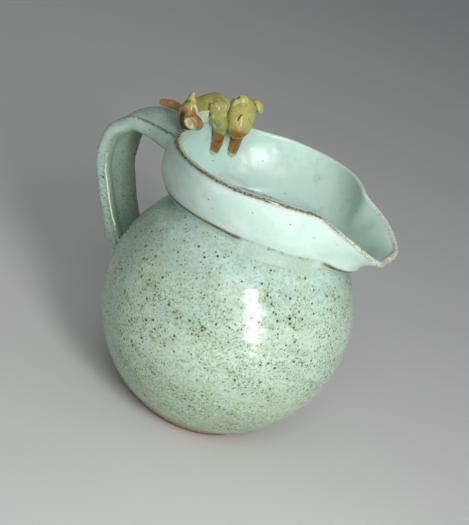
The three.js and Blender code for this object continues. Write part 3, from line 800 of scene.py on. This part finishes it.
EYE_LINES = [
    (onto(bare_head, [mixed(a, b, t) for t in np.linspace(0, 1, 6)]), np.full(6, r))
    for (a, b), r in zip(EYES, EYE_RADII)
]


def head_field(p):
    near, outward = ear_place((-0.5, -0.2, 0.94), -0.2)
    middle = near + outward * 0.1 + ONWARD * 0.3 - EAR_SIDE * 0.35
    ear = blob(p, middle, EAR_TURN, (2.95, 2.3, 2.1))
    dent = middle - EAR_SIDE * 1.5 + EAR_TOP * 0.5
    cups = [blob(p, dent + EAR_TURN[2] * side, EAR_TURN, (1.3, 1.0, 1.3)) for side in (-2.2, 2.2)]
    d = joined(bare_head(p), carved(ear, np.minimum(*cups), 0.5), 0.9)
    far = ear_place((0.93, 0.06, 0.34), 0.3)[0] + (EAR_SIDE + EAR_TOP) * 0.4
    d = joined(d, blob(p, far, FAR_EAR_TURN, (3.35, 2.3, 2.5)), 0.5)
    for line in EYE_LINES:
        d = carved(d, swept(p, line), 0.25)
    return d


SOLE_WAY = unit(-RADIAL * 0.75 - ONWARD * 0.6 - UP * 0.05)
SOLE = FOOT[0][0] + SOLE_WAY * 3.35 + ONWARD * 0.6 - UP * 0.4
SOLE_SIDE = unit(np.cross(UP, SOLE_WAY))
SOLE_AXES = np.array([SOLE_SIDE, np.cross(SOLE_WAY, SOLE_SIDE), SOLE_WAY])


def near_leg_field(p):
    d = joined(swept(p, HAUNCH_LINE), swept(p, FOOT_LINE), 0.35)
    return carved(d, blob(p, SOLE, SOLE_AXES, (2.9, 2.3, 1.6)), 0.6)


def limb_field(line):
    """Field of a limb that is one chain."""
    ready = chain(line)
    return lambda p: swept(p, ready)


FORMS = {
    "torso": torso_field, "head": head_field, "near_arm": limb_field(NEAR_ARM),
    "far_arm": limb_field(FAR_ARM), "near_leg": near_leg_field, "far_leg": limb_field(FAR_LEG),
}

# Radii in millimetres by which two forms flow into each other
BLENDS = {
    ("torso", "head"): 0.5, ("torso", "near_arm"): 1.3, ("torso", "far_arm"): 0.8,
    ("torso", "near_leg"): 1.0, ("torso", "far_leg"): 1.5, ("head", "near_arm"): 0.4,
    ("head", "far_arm"): 0.4, ("near_leg", "far_leg"): 0.8,
}

# Seams with painted shade along them, and how dark
SEAMS = {
    ("head", "torso"): 1.0, ("head", "near_arm"): 0.6, ("head", "far_arm"): 0.6, ("near_leg", "far_leg"): 0.6,
}


def beside(form, table):
    """The fields of the forms that share a row of a table with this one, and their values."""
    return [(FORMS[pair[1 - pair.index(form)]], value) for pair, value in table.items() if form in pair]


def sculpted(name, voxel, low, high, raised):
    """Closed mesh of one form, blended with its neighbours where they meet."""
    wide = COARSE_STEP
    size = (np.ceil((high - low) / voxel / wide).astype(int) + 1) * wide

    def field(p):
        own = whole = FORMS[name](p)
        others = np.full(len(p), FAR)
        for other, blend in beside(name, BLENDS):
            gap = other(p)
            whole = joined(whole, gap, blend)
            others = np.minimum(others, gap)
        rough = 0.05 * ripple(p, 5.0, 41, 8) + 0.02 * ripple(p, 1.8, 42, 8)
        return np.maximum(whole - raised + rough, (own - others) / 2 - BLEND_OVERLAP)

    def spots(index, step):
        return low + voxel * step * index

    coarse_at = np.argwhere(np.ones(size // wide, bool))
    coarse = field(spots(coarse_at + 0.5, wide) - voxel / 2).reshape(size // wide)
    values = coarse.repeat(wide, 0).repeat(wide, 1).repeat(wide, 2)
    near = np.argwhere(np.abs(values) < (wide + 0.2) * voxel)
    values[tuple(near.T)] = field(spots(near, 1))
    return surface_net(values, low, voxel, field)


def surface_net(values, low, voxel, field):
    """Quads along the zero level of a grid of values, with points pulled onto the level."""
    inside = values < 0
    corners = [(i, j, k) for i in (0, 1) for j in (0, 1) for k in (0, 1)]
    shape = np.array(values.shape) - 1
    count = np.zeros(shape, np.int8)
    for i, j, k in corners:
        count += inside[i:i + shape[0], j:j + shape[1], k:k + shape[2]]
    cells = np.argwhere((count > 0) & (count < 8))
    index = -np.ones(shape, int)
    index[tuple(cells.T)] = np.arange(len(cells))
    total = np.zeros((len(cells), 3))
    hits = np.zeros(len(cells))
    for a in corners:
        for axis in range(3):
            if a[axis]:
                continue
            b = tuple(c + (n == axis) for n, c in enumerate(a))
            va = values[tuple((cells + a).T)]
            vb = values[tuple((cells + b).T)]
            cross = (va < 0) != (vb < 0)
            t = np.where(cross, va / np.where(cross, va - vb, 1), 0)
            spot = np.tile(np.array(a, float), (len(cells), 1))
            spot[:, axis] += t
            total += spot * cross[:, None]
            hits += cross
    points = low + voxel * (cells + total / hits[:, None])
    quads = []
    for axis in range(3):
        b, c = [n for n in range(3) if n != axis]
        span = [slice(None)] * 3
        span[axis] = slice(0, -1)
        span[b] = slice(1, -1)
        span[c] = slice(1, -1)
        here = inside[tuple(span)]
        span[axis] = slice(1, None)
        there = inside[tuple(span)]
        starts = np.argwhere(here != there)
        flip = here[tuple(starts.T)]
        starts[:, b] += 1
        starts[:, c] += 1
        ring = []
        for db, dc in ((-1, -1), (0, -1), (0, 0), (-1, 0)):
            cell = starts.copy()
            cell[:, b] += db
            cell[:, c] += dc
            ring.append(index[tuple(cell.T)])
        ring = np.stack(ring, 1)
        turned = flip if axis != 1 else ~flip
        ring[~turned] = ring[~turned][:, ::-1]
        quads.append(ring)
    faces = np.concatenate(quads)
    for _ in range(2):
        value = field(points)
        slope = slopes(field, points, value)
        move = slope * (value / np.maximum((slope * slope).sum(1), 0.2))[:, None]
        size = np.linalg.norm(move, axis=1, keepdims=True)
        points = points - move * np.minimum(1, 0.4 * voxel / np.maximum(size, 1e-9))
    return points, faces


def crease(points, faces, passes=14):
    """How deep each point lies in a hollow, from how far a smoothed surface stands above it."""
    pairs = np.concatenate([faces[:, [0, 1]], faces[:, [1, 2]], faces[:, [2, 3]], faces[:, [3, 0]]])
    smoothed = points.copy()
    count = np.bincount(pairs.ravel(), minlength=len(points))[:, None]
    for _ in range(passes):
        total = np.zeros_like(points)
        for k in range(3):
            for a, b in ((0, 1), (1, 0)):
                total[:, k] += np.bincount(pairs[:, a], smoothed[pairs[:, b], k], len(points))
        smoothed = total / count
    normal = np.zeros_like(points)
    a, b, c, d = (points[faces[:, k]] for k in range(4))
    n = np.cross(c - a, d - b)
    for k in range(4):
        for m in range(3):
            normal[:, m] += np.bincount(faces[:, k], n[:, m], len(points))
    return ((smoothed - points) * unit(normal)).sum(1)


# Places where the bear's glaze differs, or where shade and highlights are painted on it: points along the
# rim, outward and above it in millimetres, then radius, softness and strength
# White glaze where it pooled in seams and on the head, and painted glints and highlights on the near foreleg
# and along the muzzle
MILK_AND_GLINTS = [
    ([(-17.5, -1.5, 9.3), (-17.0, -2.3, 8.1)], 0.25, 0.35, 0.95),
    ([(-17.0, -2.3, 8.1), (-16.6, -2.9, 6.5)], 0.55, 0.45, 0.95),
    ([(2.8, -5.3, 9.7), (3.1, -6.4, 7.3), (3.4, -6.7, 5.6)], 0.22, 0.55, 0.65),
    ([(-2.0, -4.0, 5.2), (-1.5, -4.2, 3.6)], 0.1, 0.6, 0.6),
    ([(0.4, -4.3, 1.3), (0.9, -4.4, 0.4), (2.9, -4.6, -0.9)], 0.2, 0.5, 0.75),
    ([(11.6, -2.4, 9.4), (13.5, -2.5, 9.7)], 0.55, 1.3, 0.9),
    ([(13.8, -9.7, -2.4), (16.2, -9.7, -2.4), (17.7, -9.6, -1.8)], 0.1, 0.6, 0.4),
    ([(0.6, -5.2, 6.4), (1.3, -5.6, 3.4)], 1.2, 2.0, 0.28),
]
# Painted shade in the creases round the near foreleg, by the tail and the far ear, and low on the rump under
# the haunch
DARK = [
    ([(-3.3, -1.5, 8.3), (-3.8, -2.3, 6.2), (-2.4, -2.6, 4.0)], 0.3, 0.6, 0.85),
    ([(-3.5, -1.6, 8.1), (-2.2, -2.2, 9.2), (-1.0, -3.0, 10.2)], 0.1, 0.5, 0.5),
    ([(-17.6, 2.6, 8.8), (-18.8, 0.7, 10.5)], 0.2, 0.6, 0.7),
    ([(20.7, -4.4, 10.9), (23.8, -3.6, 8.1)], 0.2, 0.5, 0.6),
    ([(-19.5, 1.8, 4.4), (-19.7, 1.2, 2.2), (-19.7, -0.2, 0.3), (-18.0, -2.5, -0.8)], 1.1, 1.2, 0.95),
]
BAND = [
    ([(-20.1, 0.9, 4.6), (-20.0, 0.0, 6.0), (-19.0, -1.9, 6.3), (-17.4, -3.5, 5.7)], 0.75, 0.8, 1.0),
]
SOLES = [([(-20.2, -1.7, 3.1), (-18.6, -3.4, 1.9)], 1.35, 0.8, 1.0)]
TOAST = [([(11.0, -9.6, -1.4), (13.6, -10.2, -1.4), (17.2, -10.0, -1.4)], 0.2, 5.4, 0.95)]
# Painted highlight along the nose's ridge
NOSE_HIGHLIGHT = [([(11.0, -8.2, 4.0), (11.6, -9.3, 2.8), (12.7, -10.2, 1.3)], 0.25, 0.6, 0.6)]
PLACES = {"band": BAND, "sole": SOLES, "light": NOSE_HIGHLIGHT}


def touched(points, places):
    """Share from 0 to 1 by which points lie on any of the named places."""
    total = np.zeros(len(points))
    for rows, radius, softness, strength in places:
        ends = [on_rim(*row) for row in rows]
        gap = np.full(len(points), FAR)
        for a, b in zip(ends[:-1], ends[1:]):
            t = np.clip((points - a) @ (b - a) / ((b - a) @ (b - a)), 0, 1)
            gap = np.minimum(gap, np.linalg.norm(points - a - t[:, None] * (b - a), axis=1))
        total = np.maximum(total, strength * smooth(radius + softness, radius, gap))
    return total


def toasting(form, points):
    """Share of brown where the glaze is thin: paws, muzzle and hind feet."""
    total = touched(points, TOAST)
    if form == "near_arm":
        drop = on_rim(5, 0, -2.4)[2] - points[:, 2] + 0.12 * (points - NEAR_ARM[2][0]) @ -ONWARD
        return np.maximum(total, smooth(-0.9, 1.5, drop))
    if form == "far_arm":
        return np.maximum(total, 0.85 * smooth(-2.5, 0.5, FAR_ARM[1][0][2] - points[:, 2]))
    if form == "far_leg":
        return smooth(1.0, 4.5, np.linalg.norm(points - FAR_LEG[0][0], axis=1))
    if form == "near_leg":
        foot = smooth(0.9, -0.3, swept(points, FOOT_LINE) - swept(points, HAUNCH_LINE))
        low = smooth(on_rim(-16, 0, 10.0)[2], on_rim(-16, 0, 4.5)[2], points[:, 2])
        return np.maximum(0.78 * foot, 0.54 + 0.22 * low)
    return total


def milk_and_glint_share(form, points):
    """Share of white glaze and painted glints: the marks, the torso's underside and the tips of the paws."""
    total = touched(points, MILK_AND_GLINTS)
    if form == "torso":
        along = (points - on_rim(0, 0, 0)) @ ONWARD
        low = smooth(on_rim(-6, 0, 6.6)[2], on_rim(-6, 0, 5.4)[2], points[:, 2])
        total = np.maximum(total, low * smooth(-17.0, -14.0, along) * smooth(1.0, -2.0, along))
    if form in ("near_arm", "far_arm"):
        tip, radius = (NEAR_ARM if form == "near_arm" else FAR_ARM)[-1]
        total = np.maximum(total, 0.85 * smooth(2.1, 0.9, (points - tip) @ UP + radius))
    return total


def seams(form, points):
    """Painted shade along the seams that show some."""
    own = FORMS[form](points)
    total = np.zeros(len(points))
    for other, strength in beside(form, SEAMS):
        total = np.maximum(total, strength * smooth(0.75, 0.1, np.abs(own - other(points))))
    return total


def make_bear():
    made = []
    olive, brown = "bear_glaze", "toasted_clay"
    face = ["bear_head", "bear_ear_near", "bear_ear_far"]
    table = [
        ("torso", "bear_body", TORSO, 1.6, 0.26, 0.0, ["bear_torso", "bear_tail"], olive),
        ("head", "bear_face", HEAD, 4.6, 0.2, 0.01, face, olive),
        ("near_arm", "bear_arm_near", NEAR_ARM, 1.2, 0.24, 0.02, ["bear_foreleg_near"], brown),
        ("far_arm", "bear_arm_far", FAR_ARM, 1.2, 0.24, 0.02, ["bear_foreleg_far"], brown),
        ("near_leg", "bear_leg_near", HAUNCH + FOOT, 1.2, 0.22, 0.02, ["bear_hind_leg_near"], brown),
        ("far_leg", "bear_leg_far", FAR_LEG, 1.2, 0.24, 0.02, ["bear_hind_leg_far"], brown),
    ]
    for form, name, line, room, voxel, raised, nodes, slot in table:
        centres, radii = (np.array(column, float) for column in zip(*line))
        low = (centres - radii[:, None]).min(0) - room
        high = (centres + radii[:, None]).max(0) + room
        points, faces = sculpted(form, voxel, low, high, raised)
        along = (points - on_rim(0, 0, 0)) @ ONWARD
        marks = {label: touched(points, places) for label, places in PLACES.items()}
        marks["crease"] = crease(points, faces)
        marks["yellow"] = smooth(-2.0, 9.0, along)
        marks["toast"] = toasting(form, points)
        marks["milk_and_glint"] = milk_and_glint_share(form, points)
        # Painted shade in creases, gaps and seams, with the dark eye slits added below
        marks["dark"] = np.maximum(touched(points, DARK), seams(form, points))
        if form == "head":
            for slit, strength in zip(EYE_LINES, EYE_DARKNESS):
                marks["dark"] = np.maximum(marks["dark"], strength * smooth(0.3, 0.0, swept(points, slit)))
        made.append(piece(name, points, faces, marks, nodes))
    return made


# Materials

class Paint:
    """A procedural material under construction, in millimetres of object space."""

    def __init__(self, name):
        self.material = bpy.data.materials.new(name)
        self.material.use_nodes = True
        self.tree = self.material.node_tree
        self.shader = self.tree.nodes["Principled BSDF"]
        place = self.tree.nodes.new("ShaderNodeTexCoord")
        self.place = self.vector("SCALE", place.outputs["Object"], scale=1000)

    def put(self, socket, value):
        if isinstance(value, bpy.types.NodeSocket):
            self.tree.links.new(value, socket)
        elif isinstance(value, (tuple, list)) and len(value) == 3 and socket.type == "RGBA":
            socket.default_value = (*value, 1)
        else:
            socket.default_value = value

    def vector(self, operation, a, b=None, scale=None):
        node = self.tree.nodes.new("ShaderNodeVectorMath")
        node.operation = operation
        self.put(node.inputs[0], a)
        if b is not None:
            self.put(node.inputs[1], b)
        if scale is not None:
            self.put(node.inputs["Scale"], scale)
        return node.outputs[0]

    def math(self, operation, a, b=0.0, c=0.0, clamp=False):
        node = self.tree.nodes.new("ShaderNodeMath")
        node.operation = operation
        node.use_clamp = clamp
        for socket, value in zip(node.inputs, (a, b, c)):
            self.put(socket, value)
        return node.outputs[0]

    def add(self, a, b):
        return self.math("ADD", a, b)

    def absolute(self, value):
        return self.math("ABSOLUTE", value)

    def both(self, a, b):
        return self.math("MULTIPLY", a, b, clamp=True)

    def span(self, value, low, high, to_low=0.0, to_high=1.0):
        """Smooth step of a value."""
        node = self.tree.nodes.new("ShaderNodeMapRange")
        node.interpolation_type = "SMOOTHSTEP"
        names = ("Value", "From Min", "From Max", "To Min", "To Max")
        for name, item in zip(names, (value, low, high, to_low, to_high)):
            self.put(node.inputs[name], item)
        return node.outputs[0]

    def moved(self, place, *shift):
        return self.vector("ADD", place or self.place, shift)

    def noise(self, size, detail=2.0, rough=0.5, shift=0.0, place=None):
        """Noise whose bumps are about size millimetres across."""
        node = self.tree.nodes.new("ShaderNodeTexNoise")
        self.put(node.inputs["Vector"], self.moved(place, shift, shift * 0.7, -shift))
        for name, item in (("Scale", 1 / size), ("Detail", detail), ("Roughness", rough)):
            self.put(node.inputs[name], item)
        return node.outputs["Fac"]

    def patches(self, low, high, *noise, **options):
        """Noise as soft patches: 0 where it is below low, 1 above high."""
        return self.span(self.noise(*noise, **options), low, high)

    def mark(self, name):
        node = self.tree.nodes.new("ShaderNodeAttribute")
        node.attribute_name = name
        return node.outputs["Fac"]

    def mix(self, share, a, b):
        node = self.tree.nodes.new("ShaderNodeMix")
        node.data_type = "RGBA"
        self.put(node.inputs["Factor"], share)
        self.put(node.inputs["A"], a)
        self.put(node.inputs["B"], b)
        return node.outputs["Result"]

    def two(self, share, a, b):
        """A blend of two screen colours."""
        return self.mix(share, shade(*a), shade(*b))

    def tint(self, colour, share, amount, tone):
        """A colour with another one over it where share says."""
        return self.mix(self.both(share, amount), colour, shade(*tone))

    def specks(self, size, radius, chance, shift=0.0):
        """Small spots: cell size, radius in millimetres, and the share of cells with one."""
        node = self.tree.nodes.new("ShaderNodeTexVoronoi")
        self.put(node.inputs["Vector"], self.moved(None, shift, -shift, shift * 0.6))
        self.put(node.inputs["Scale"], 1 / size)
        parts = self.tree.nodes.new("ShaderNodeSeparateColor")
        self.put(parts.inputs[0], node.outputs["Color"])
        shown = self.math("LESS_THAN", parts.outputs[0], chance)
        grown = self.math("MULTIPLY_ADD", parts.outputs[1], radius / size, 0.5 * radius / size)
        spot = self.span(self.math("DIVIDE", node.outputs["Distance"], grown), 1.15, 0.65)
        return self.math("MULTIPLY", spot, shown)

    def bump(self, height, distance, strength=1.0, normal=None):
        node = self.tree.nodes.new("ShaderNodeBump")
        self.put(node.inputs["Height"], height)
        node.inputs["Distance"].default_value = distance
        node.inputs["Strength"].default_value = strength
        if normal is not None:
            self.put(node.inputs["Normal"], normal)
        return node.outputs[0]

    def finish(self, colour, roughness, normal):
        self.put(self.shader.inputs["Base Color"], colour)
        self.put(self.shader.inputs["Roughness"], roughness)
        self.put(self.shader.inputs["Normal"], normal)
        return self.material


def shade(red, green, blue):
    """Linear colour from the eight-bit values of a screen colour."""
    def one(v):
        v /= 255
        return v / 12.92 if v <= 0.04045 else ((v + 0.055) / 1.055) ** 2.4
    return one(red), one(green), one(blue)


def glaze_bump(paint, strength=1.0):
    waves = paint.bump(paint.noise(5.0, 1.0), 0.00017, strength)
    return paint.bump(paint.noise(0.7, 2.0), 0.000012, strength, waves)


def body_skin(p):
    """Speckled body glaze: its colour, and where it is pitted."""
    height = p.mark("height")
    low = p.span(height, 0.88, 0.62)
    dense = p.patches(0.3, 0.68, 14, 2, 0.5, 21)
    busy = p.math("MULTIPLY_ADD", p.both(dense, low), 0.6, 0.4)
    iron = p.both(p.mark("iron"), p.patches(0.36, 0.62, 1.6, 3, 0.7, 3))
    often = p.both(p.math("MULTIPLY_ADD", dense, 0.4, 0.3), low)
    rings = p.vector("MULTIPLY", p.place, (0.012, 0.012, 0.22))
    knots = p.specks(1.2, 0.42, p.both(iron, 0.75), 31)
    large = p.specks(4.8, 0.45, often, 15)
    some = p.specks(2.0, 0.42, p.add(p.both(busy, 0.34), p.both(iron, 0.6)), 9)
    # Darker and greyer towards the foot: partly the glaze's own tone, partly painted shade on the lower body
    colour = p.two(p.span(height, 0.1, 0.5), (152, 172, 142), (194, 218, 197))
    for share, amount, tone in [
        (p.span(height, 0.6, 0.86), 1, (192, 222, 214)),
        (p.patches(0.5, 0.68, 15, 3, 0.6, 40), 0.35, (176, 188, 146)),
        (p.patches(0.52, 0.68, 19, 2, 0.6, 55), 0.4, (172, 204, 198)),
        (p.patches(0.45, 0.62, 1.0, 2, 0.5, place=rings), 0.3, (164, 184, 160)),
        (p.patches(0.42, 0.66, 3.4, 3, 0.65, 7), 0.35, (162, 182, 156)),
        (p.both(p.patches(0.47, 0.6, 0.95, 3, 0.72, 5), busy), 0.75, (124, 144, 112)),
        (p.patches(0.52, 0.66, 1.15, 3, 0.7, 35), 0.5, (206, 226, 216)),
        (p.specks(1.2, 0.34, p.both(busy, 0.62), 2), 0.75, (88, 104, 66)),
        (some, 0.88, (66, 72, 34)),
        (iron, 0.5, (132, 134, 84)),
        (knots, 0.9, (62, 60, 28)),
        (p.specks(4.8, 0.95, often, 15), 0.35, (142, 146, 92)),
        (large, 0.95, (28, 32, 14)),
    ]:
        colour = p.tint(colour, share, amount, tone)
    return colour, p.math("MAXIMUM", large, knots)


def body_paint():
    p = Paint("speckled body glaze")
    colour, pitted = body_skin(p)
    foot = p.mark("foot")
    bare = p.span(foot, 4.6, 3.0)
    clay = p.two(p.patches(0.3, 0.7, 0.8, 3, 0.7), (116, 84, 52), (150, 116, 78))
    # Browner towards the foot where the glaze thins, deepened as painted shade on the lower body
    colour = p.tint(colour, p.span(foot, 11.0, 4.0), 0.7, (118, 116, 74))
    colour = p.mix(bare, colour, clay)
    rough = p.span(bare, 0, 1, 0.15, 0.7)
    return p.finish(colour, rough, p.bump(pitted, 0.00005, 0.6, glaze_bump(p)))


def collar_paint():
    p = Paint("pale collar glaze")
    inside, filled = p.mark("inside"), p.mark("filled")
    outside = p.math("SUBTRACT", 1.0, inside)
    turn = p.absolute(p.mark("turn"))
    freckled = p.both(p.patches(0.58, 0.7, 0.9, 3, 0.75, 8), p.patches(0.45, 0.7, 9, 2, 0.6, 31))
    colour = p.two(p.patches(0.35, 0.7, 13, 3, 0.6), (198, 227, 215), (216, 238, 229))
    for share, amount, tone in [
        # Inside the collar: a bluer glaze, made paler as painted light on the interior, and painted shade
        # inside the spout
        (inside, 0.85, (220, 250, 240)),
        (p.both(inside, p.span(turn, 1.0, 0.3)), 0.5, (146, 176, 162)),
        (p.patches(0.54, 0.72, 7, 3, 0.6, 12), 0.4, (184, 212, 192)),
        (freckled, 0.45, (150, 166, 130)),
        (p.specks(2.4, 0.28, 0.2, 4), 0.75, (112, 112, 72)),
    ]:
        colour = p.tint(colour, share, amount, tone)

    # The body's glaze where it fills the corner under the edge, darkened as painted shade where the fillet
    # faces up into the light
    skin, _ = body_skin(p)
    edge = p.mark("edge_run")
    fill = p.both(filled, p.span(edge, 1.2, -0.4))
    colour = p.mix(p.both(fill, outside), colour, p.mix(0.6, skin, shade(158, 182, 162)))

    # Iron shows through where the glaze runs thin along the rim: a line, and coarse frit near the handle
    jitter = p.add(p.noise(1.1, 4, 0.75), -0.5)
    wander = p.add(p.noise(9, 2, 0.6, 2), -0.5)
    iron = p.two(p.patches(0.4, 0.6, 1.4, 2, 0.6, 23), (44, 42, 18), (98, 72, 34))
    run = p.add(p.mark("rim_run"), p.math("MULTIPLY", jitter, 1.4))
    back = p.span(turn, 2.25, 2.75)
    wide = p.add(p.math("MULTIPLY_ADD", back, 1.0, 0.58), p.math("MULTIPLY", wander, 0.5))
    near = p.math("DIVIDE", p.absolute(run), p.math("MAXIMUM", wide, 0.16))
    colour = p.tint(colour, p.span(near, 3.2, 0.9), 0.5, (168, 166, 118))
    grains = p.math("MULTIPLY_ADD", p.patches(0.4, 0.58, 0.75, 3, 0.8, 18), 0.45, 0.5)
    colour = p.mix(p.both(p.span(near, 1.3, 0.6), grains), colour, iron)
    # A pale line along the top of the rim: painted highlight
    colour = p.tint(colour, p.span(p.absolute(p.add(run, -1.7)), 0.8, 0.25), 0.5, (226, 228, 202))
    frit = p.both(back, p.span(p.absolute(p.add(run, -0.2)), 2.2, 1.3))
    coarse = p.two(p.patches(0.47, 0.54, 1.25, 3, 0.8, 71), (216, 226, 206), (44, 48, 26))
    colour = p.mix(p.both(frit, 0.85), colour, coarse)

    # Bare lip of the spout
    top = p.absolute(p.add(p.mark("rim_run"), -1.3))
    lip = p.both(p.span(turn, 0.75, 0.35), p.span(top, 2.6, 1.5))
    dark = p.both(p.patches(0.52, 0.6, 0.9, 3, 0.8, 44), 0.75)
    colour = p.mix(p.both(lip, 0.85), colour, p.two(dark, (208, 214, 192), (84, 78, 46)))

    # Iron along the lower edge where it is open, and dots of it where it is filled
    open_edge = p.span(filled, 0.55, 0.1)
    under = p.absolute(p.add(edge, jitter))
    colour = p.mix(p.both(p.both(p.span(edge, -0.3, -0.9), open_edge), outside), colour, skin)
    colour = p.tint(colour, p.both(p.span(under, 2.1, 0.5), open_edge), 0.55, (158, 148, 96))
    ochre = p.two(p.patches(0.4, 0.62, 1.8, 3, 0.7, 27), (122, 96, 48), (60, 52, 24))
    colour = p.mix(p.both(p.both(p.span(under, 1.1, 0.45), open_edge), 0.92), colour, ochre)
    dotted = p.both(p.both(p.span(under, 0.7, 0.2), filled), p.patches(0.5, 0.6, 2.4, 3, 0.7, 61))
    colour = p.mix(p.both(dotted, 0.6), colour, iron)
    rough = p.math("MAXIMUM", p.span(fill, 0, 1, 0.14, 0.42), p.both(inside, 0.24))
    return p.finish(colour, rough, glaze_bump(p))


def handle_paint():
    p = Paint("handle glaze")
    along, over, across = p.mark("along"), p.mark("over"), p.mark("across")
    lower = p.span(along, 0.2, 0.75)
    busy = p.math("MULTIPLY_ADD", lower, 0.6, 0.15)

    # Iron along the upper edge of the near side and both rims of the inner face, which is darkened as painted
    # shade
    jitter = p.math("MULTIPLY", p.add(p.noise(1.6, 4, 0.7), -0.5), 0.22)
    side = p.add(across, jitter)
    crest = p.both(p.span(p.absolute(p.add(side, 0.88)), 0.07, 0.01), p.span(over, 0.3, 0.6))
    ridge = p.both(p.span(p.absolute(side), 0.66, 0.8), p.span(over, -0.6, -0.95))
    colour = p.two(p.patches(0.35, 0.7, 10, 3, 0.6), (186, 214, 198), (166, 194, 180))
    for share, amount, tone in [
        (p.both(p.patches(0.47, 0.62, 0.95, 3, 0.72), busy), 0.7, (132, 146, 106)),
        (p.specks(1.2, 0.34, p.both(busy, 0.55), 2), 0.7, (108, 110, 64)),
        (p.specks(4.4, 0.45, p.add(p.both(lower, 0.4), 0.15), 8), 0.9, (56, 52, 24)),
        (p.both(crest, p.span(along, 0.42, 0.16)), 0.75, (98, 86, 50)),
        (ridge, 0.2, (132, 130, 88)),
        # Painted shade on the strap's inner face, below its top
        (p.both(p.span(over, -0.2, -0.8), p.span(along, 0.1, 0.4)), 0.5, (98, 112, 86)),
    ]:
        colour = p.tint(colour, share, amount, tone)
    return p.finish(colour, 0.16, glaze_bump(p, 1.2))


def bear_paint(name):
    p = Paint(name)
    crease, dark = p.mark("crease"), p.mark("dark")
    wander = p.math("MULTIPLY", p.add(p.noise(1.4, 3, 0.7), -0.5), 0.7)
    toast = p.both(p.span(p.add(p.mark("toast"), wander), 0.15, 0.85), p.mark("toast"))
    rust = p.two(p.patches(0.35, 0.65, 1.6, 3, 0.7, 3), (180, 112, 42), (136, 84, 34))
    sole = p.span(p.add(p.mark("sole"), wander), 0.35, 0.75)
    cream = p.two(p.patches(0.45, 0.62, 1.2, 3, 0.7, 26), (230, 230, 204), (198, 182, 140))
    milk_and_glint = p.span(p.add(p.mark("milk_and_glint"), p.math("MULTIPLY", wander, 0.5)), 0.2, 0.75)
    white = p.two(p.patches(0.42, 0.62, 1.8, 3, 0.6, 33), (232, 240, 222), (198, 226, 212))
    colour = p.two(p.mark("yellow"), (160, 160, 80), (198, 191, 108))
    colour = p.tint(colour, p.patches(0.42, 0.64, 2.8, 3, 0.6), 0.35, (204, 198, 130))
    colour = p.tint(colour, p.patches(0.45, 0.66, 4.2, 2, 0.5, 6), 0.4, (134, 146, 72))
    colour = p.tint(colour, p.patches(0.5, 0.64, 0.8, 3, 0.7, 14), 0.3, (122, 108, 54))
    colour = p.mix(toast, colour, rust)
    colour = p.tint(colour, p.span(p.add(p.mark("band"), wander), 0.3, 0.8), 0.9, (156, 104, 50))
    colour = p.mix(p.both(sole, 0.92), colour, cream)
    # Painted shade in hollows, and paler on ridges
    colour = p.tint(colour, p.span(crease, 0.02, 0.11), 0.6, (86, 76, 36))
    colour = p.tint(colour, p.span(crease, -0.03, -0.12), 0.3, (208, 204, 146))
    # Painted highlight along the nose's ridge
    colour = p.tint(colour, p.mark("light"), 1, (212, 206, 140))
    # Painted shade in seams, creases and under the haunch, and the dark eye slits
    colour = p.tint(colour, dark, 0.93, (56, 45, 21))
    # White glaze where it pooled, and painted glints and highlights on the near foreleg and along the muzzle
    colour = p.mix(p.both(milk_and_glint, 0.95), colour, white)
    colour = p.tint(colour, p.specks(1.3, 0.18, 0.2, 4), 0.5, (92, 80, 38))
    return p.finish(colour, p.span(dark, 0.2, 0.8, 0.2, 0.6), p.bump(p.noise(0.8, 2), 0.00002, 1.0))


# Stage, light and camera

def make_floor():
    mesh = bpy.data.meshes.new("floor")
    corners = [(x * FLOOR_HALF, y * FLOOR_HALF, 0) for x, y in ((-1, -1), (1, -1), (1, 1), (-1, 1))]
    mesh.from_pydata(corners, [], [(0, 1, 2, 3)])
    floor = bpy.data.objects.new("floor", mesh)
    bpy.context.scene.collection.objects.link(floor)
    p = Paint("pale floor")
    tone = p.mix(p.noise(60, 2), (0.76, 0.76, 0.75), (0.8, 0.8, 0.79))
    floor.data.materials.append(p.finish(tone, 0.9, p.bump(p.noise(2, 2), 0.0001, 0.2)))


def stand(name, data, axes, place):
    """Object with the given data, axes and place."""
    obj = bpy.data.objects.new(name, data)
    bpy.context.scene.collection.objects.link(obj)
    rows = [(*(axis[k] for axis in axes), place[k]) for k in range(3)]
    obj.matrix_world = Matrix((*rows, (0, 0, 0, 1)))
    return obj


def lamp(name, target, direction, distance, size, power, roll_up):
    """Rectangular lamp that faces a target, its long side along roll_up."""
    light = bpy.data.lights.new(name, "AREA")
    light.shape = "RECTANGLE"
    light.size, light.size_y = size
    light.energy = power
    back = unit(np.array(direction, float))
    up = np.array(roll_up, float)
    up = unit(up - back * (up @ back))
    side = np.cross(up, back)
    stand(name, light, (side, up, back), Vector(target) + Vector(back) * distance)


def make_lights():
    world = bpy.data.worlds.new("studio")
    world.use_nodes = True
    bpy.context.scene.world = world
    air = world.node_tree.nodes["Background"]
    air.inputs["Color"].default_value = (0.95, 0.97, 1.0, 1)
    air.inputs["Strength"].default_value = AIR_STRENGTH
    for row in LAMPS:
        lamp(*row)


def make_camera():
    data = bpy.data.cameras.new("camera")
    data.lens = LENS
    data.sensor_width = SENSOR
    data.clip_start = 0.01
    back = unit(CAMERA_BACK)
    right = unit(np.cross(UP, back))
    up = np.cross(back, right)
    c, s = math.cos(CAMERA_ROLL), math.sin(CAMERA_ROLL)
    axes = c * right + s * up, -s * right + c * up, back
    bpy.context.scene.camera = stand("camera", data, axes, CAMERA_PLACE)


body = make_body()
collar = make_collar()
strap = make_handle()
bear = make_bear()
body.data.materials.append(body_paint())
collar.data.materials.append(collar_paint())
strap.data.materials.append(handle_paint())
olive, brown = bear_paint("olive bear glaze"), bear_paint("toasted bear glaze")
for part in bear:
    part.data.materials.append(brown if "arm" in part.name or "leg" in part.name else olive)
make_floor()
make_lights()
make_camera()
bpy.context.scene.view_settings.view_transform = "Standard"
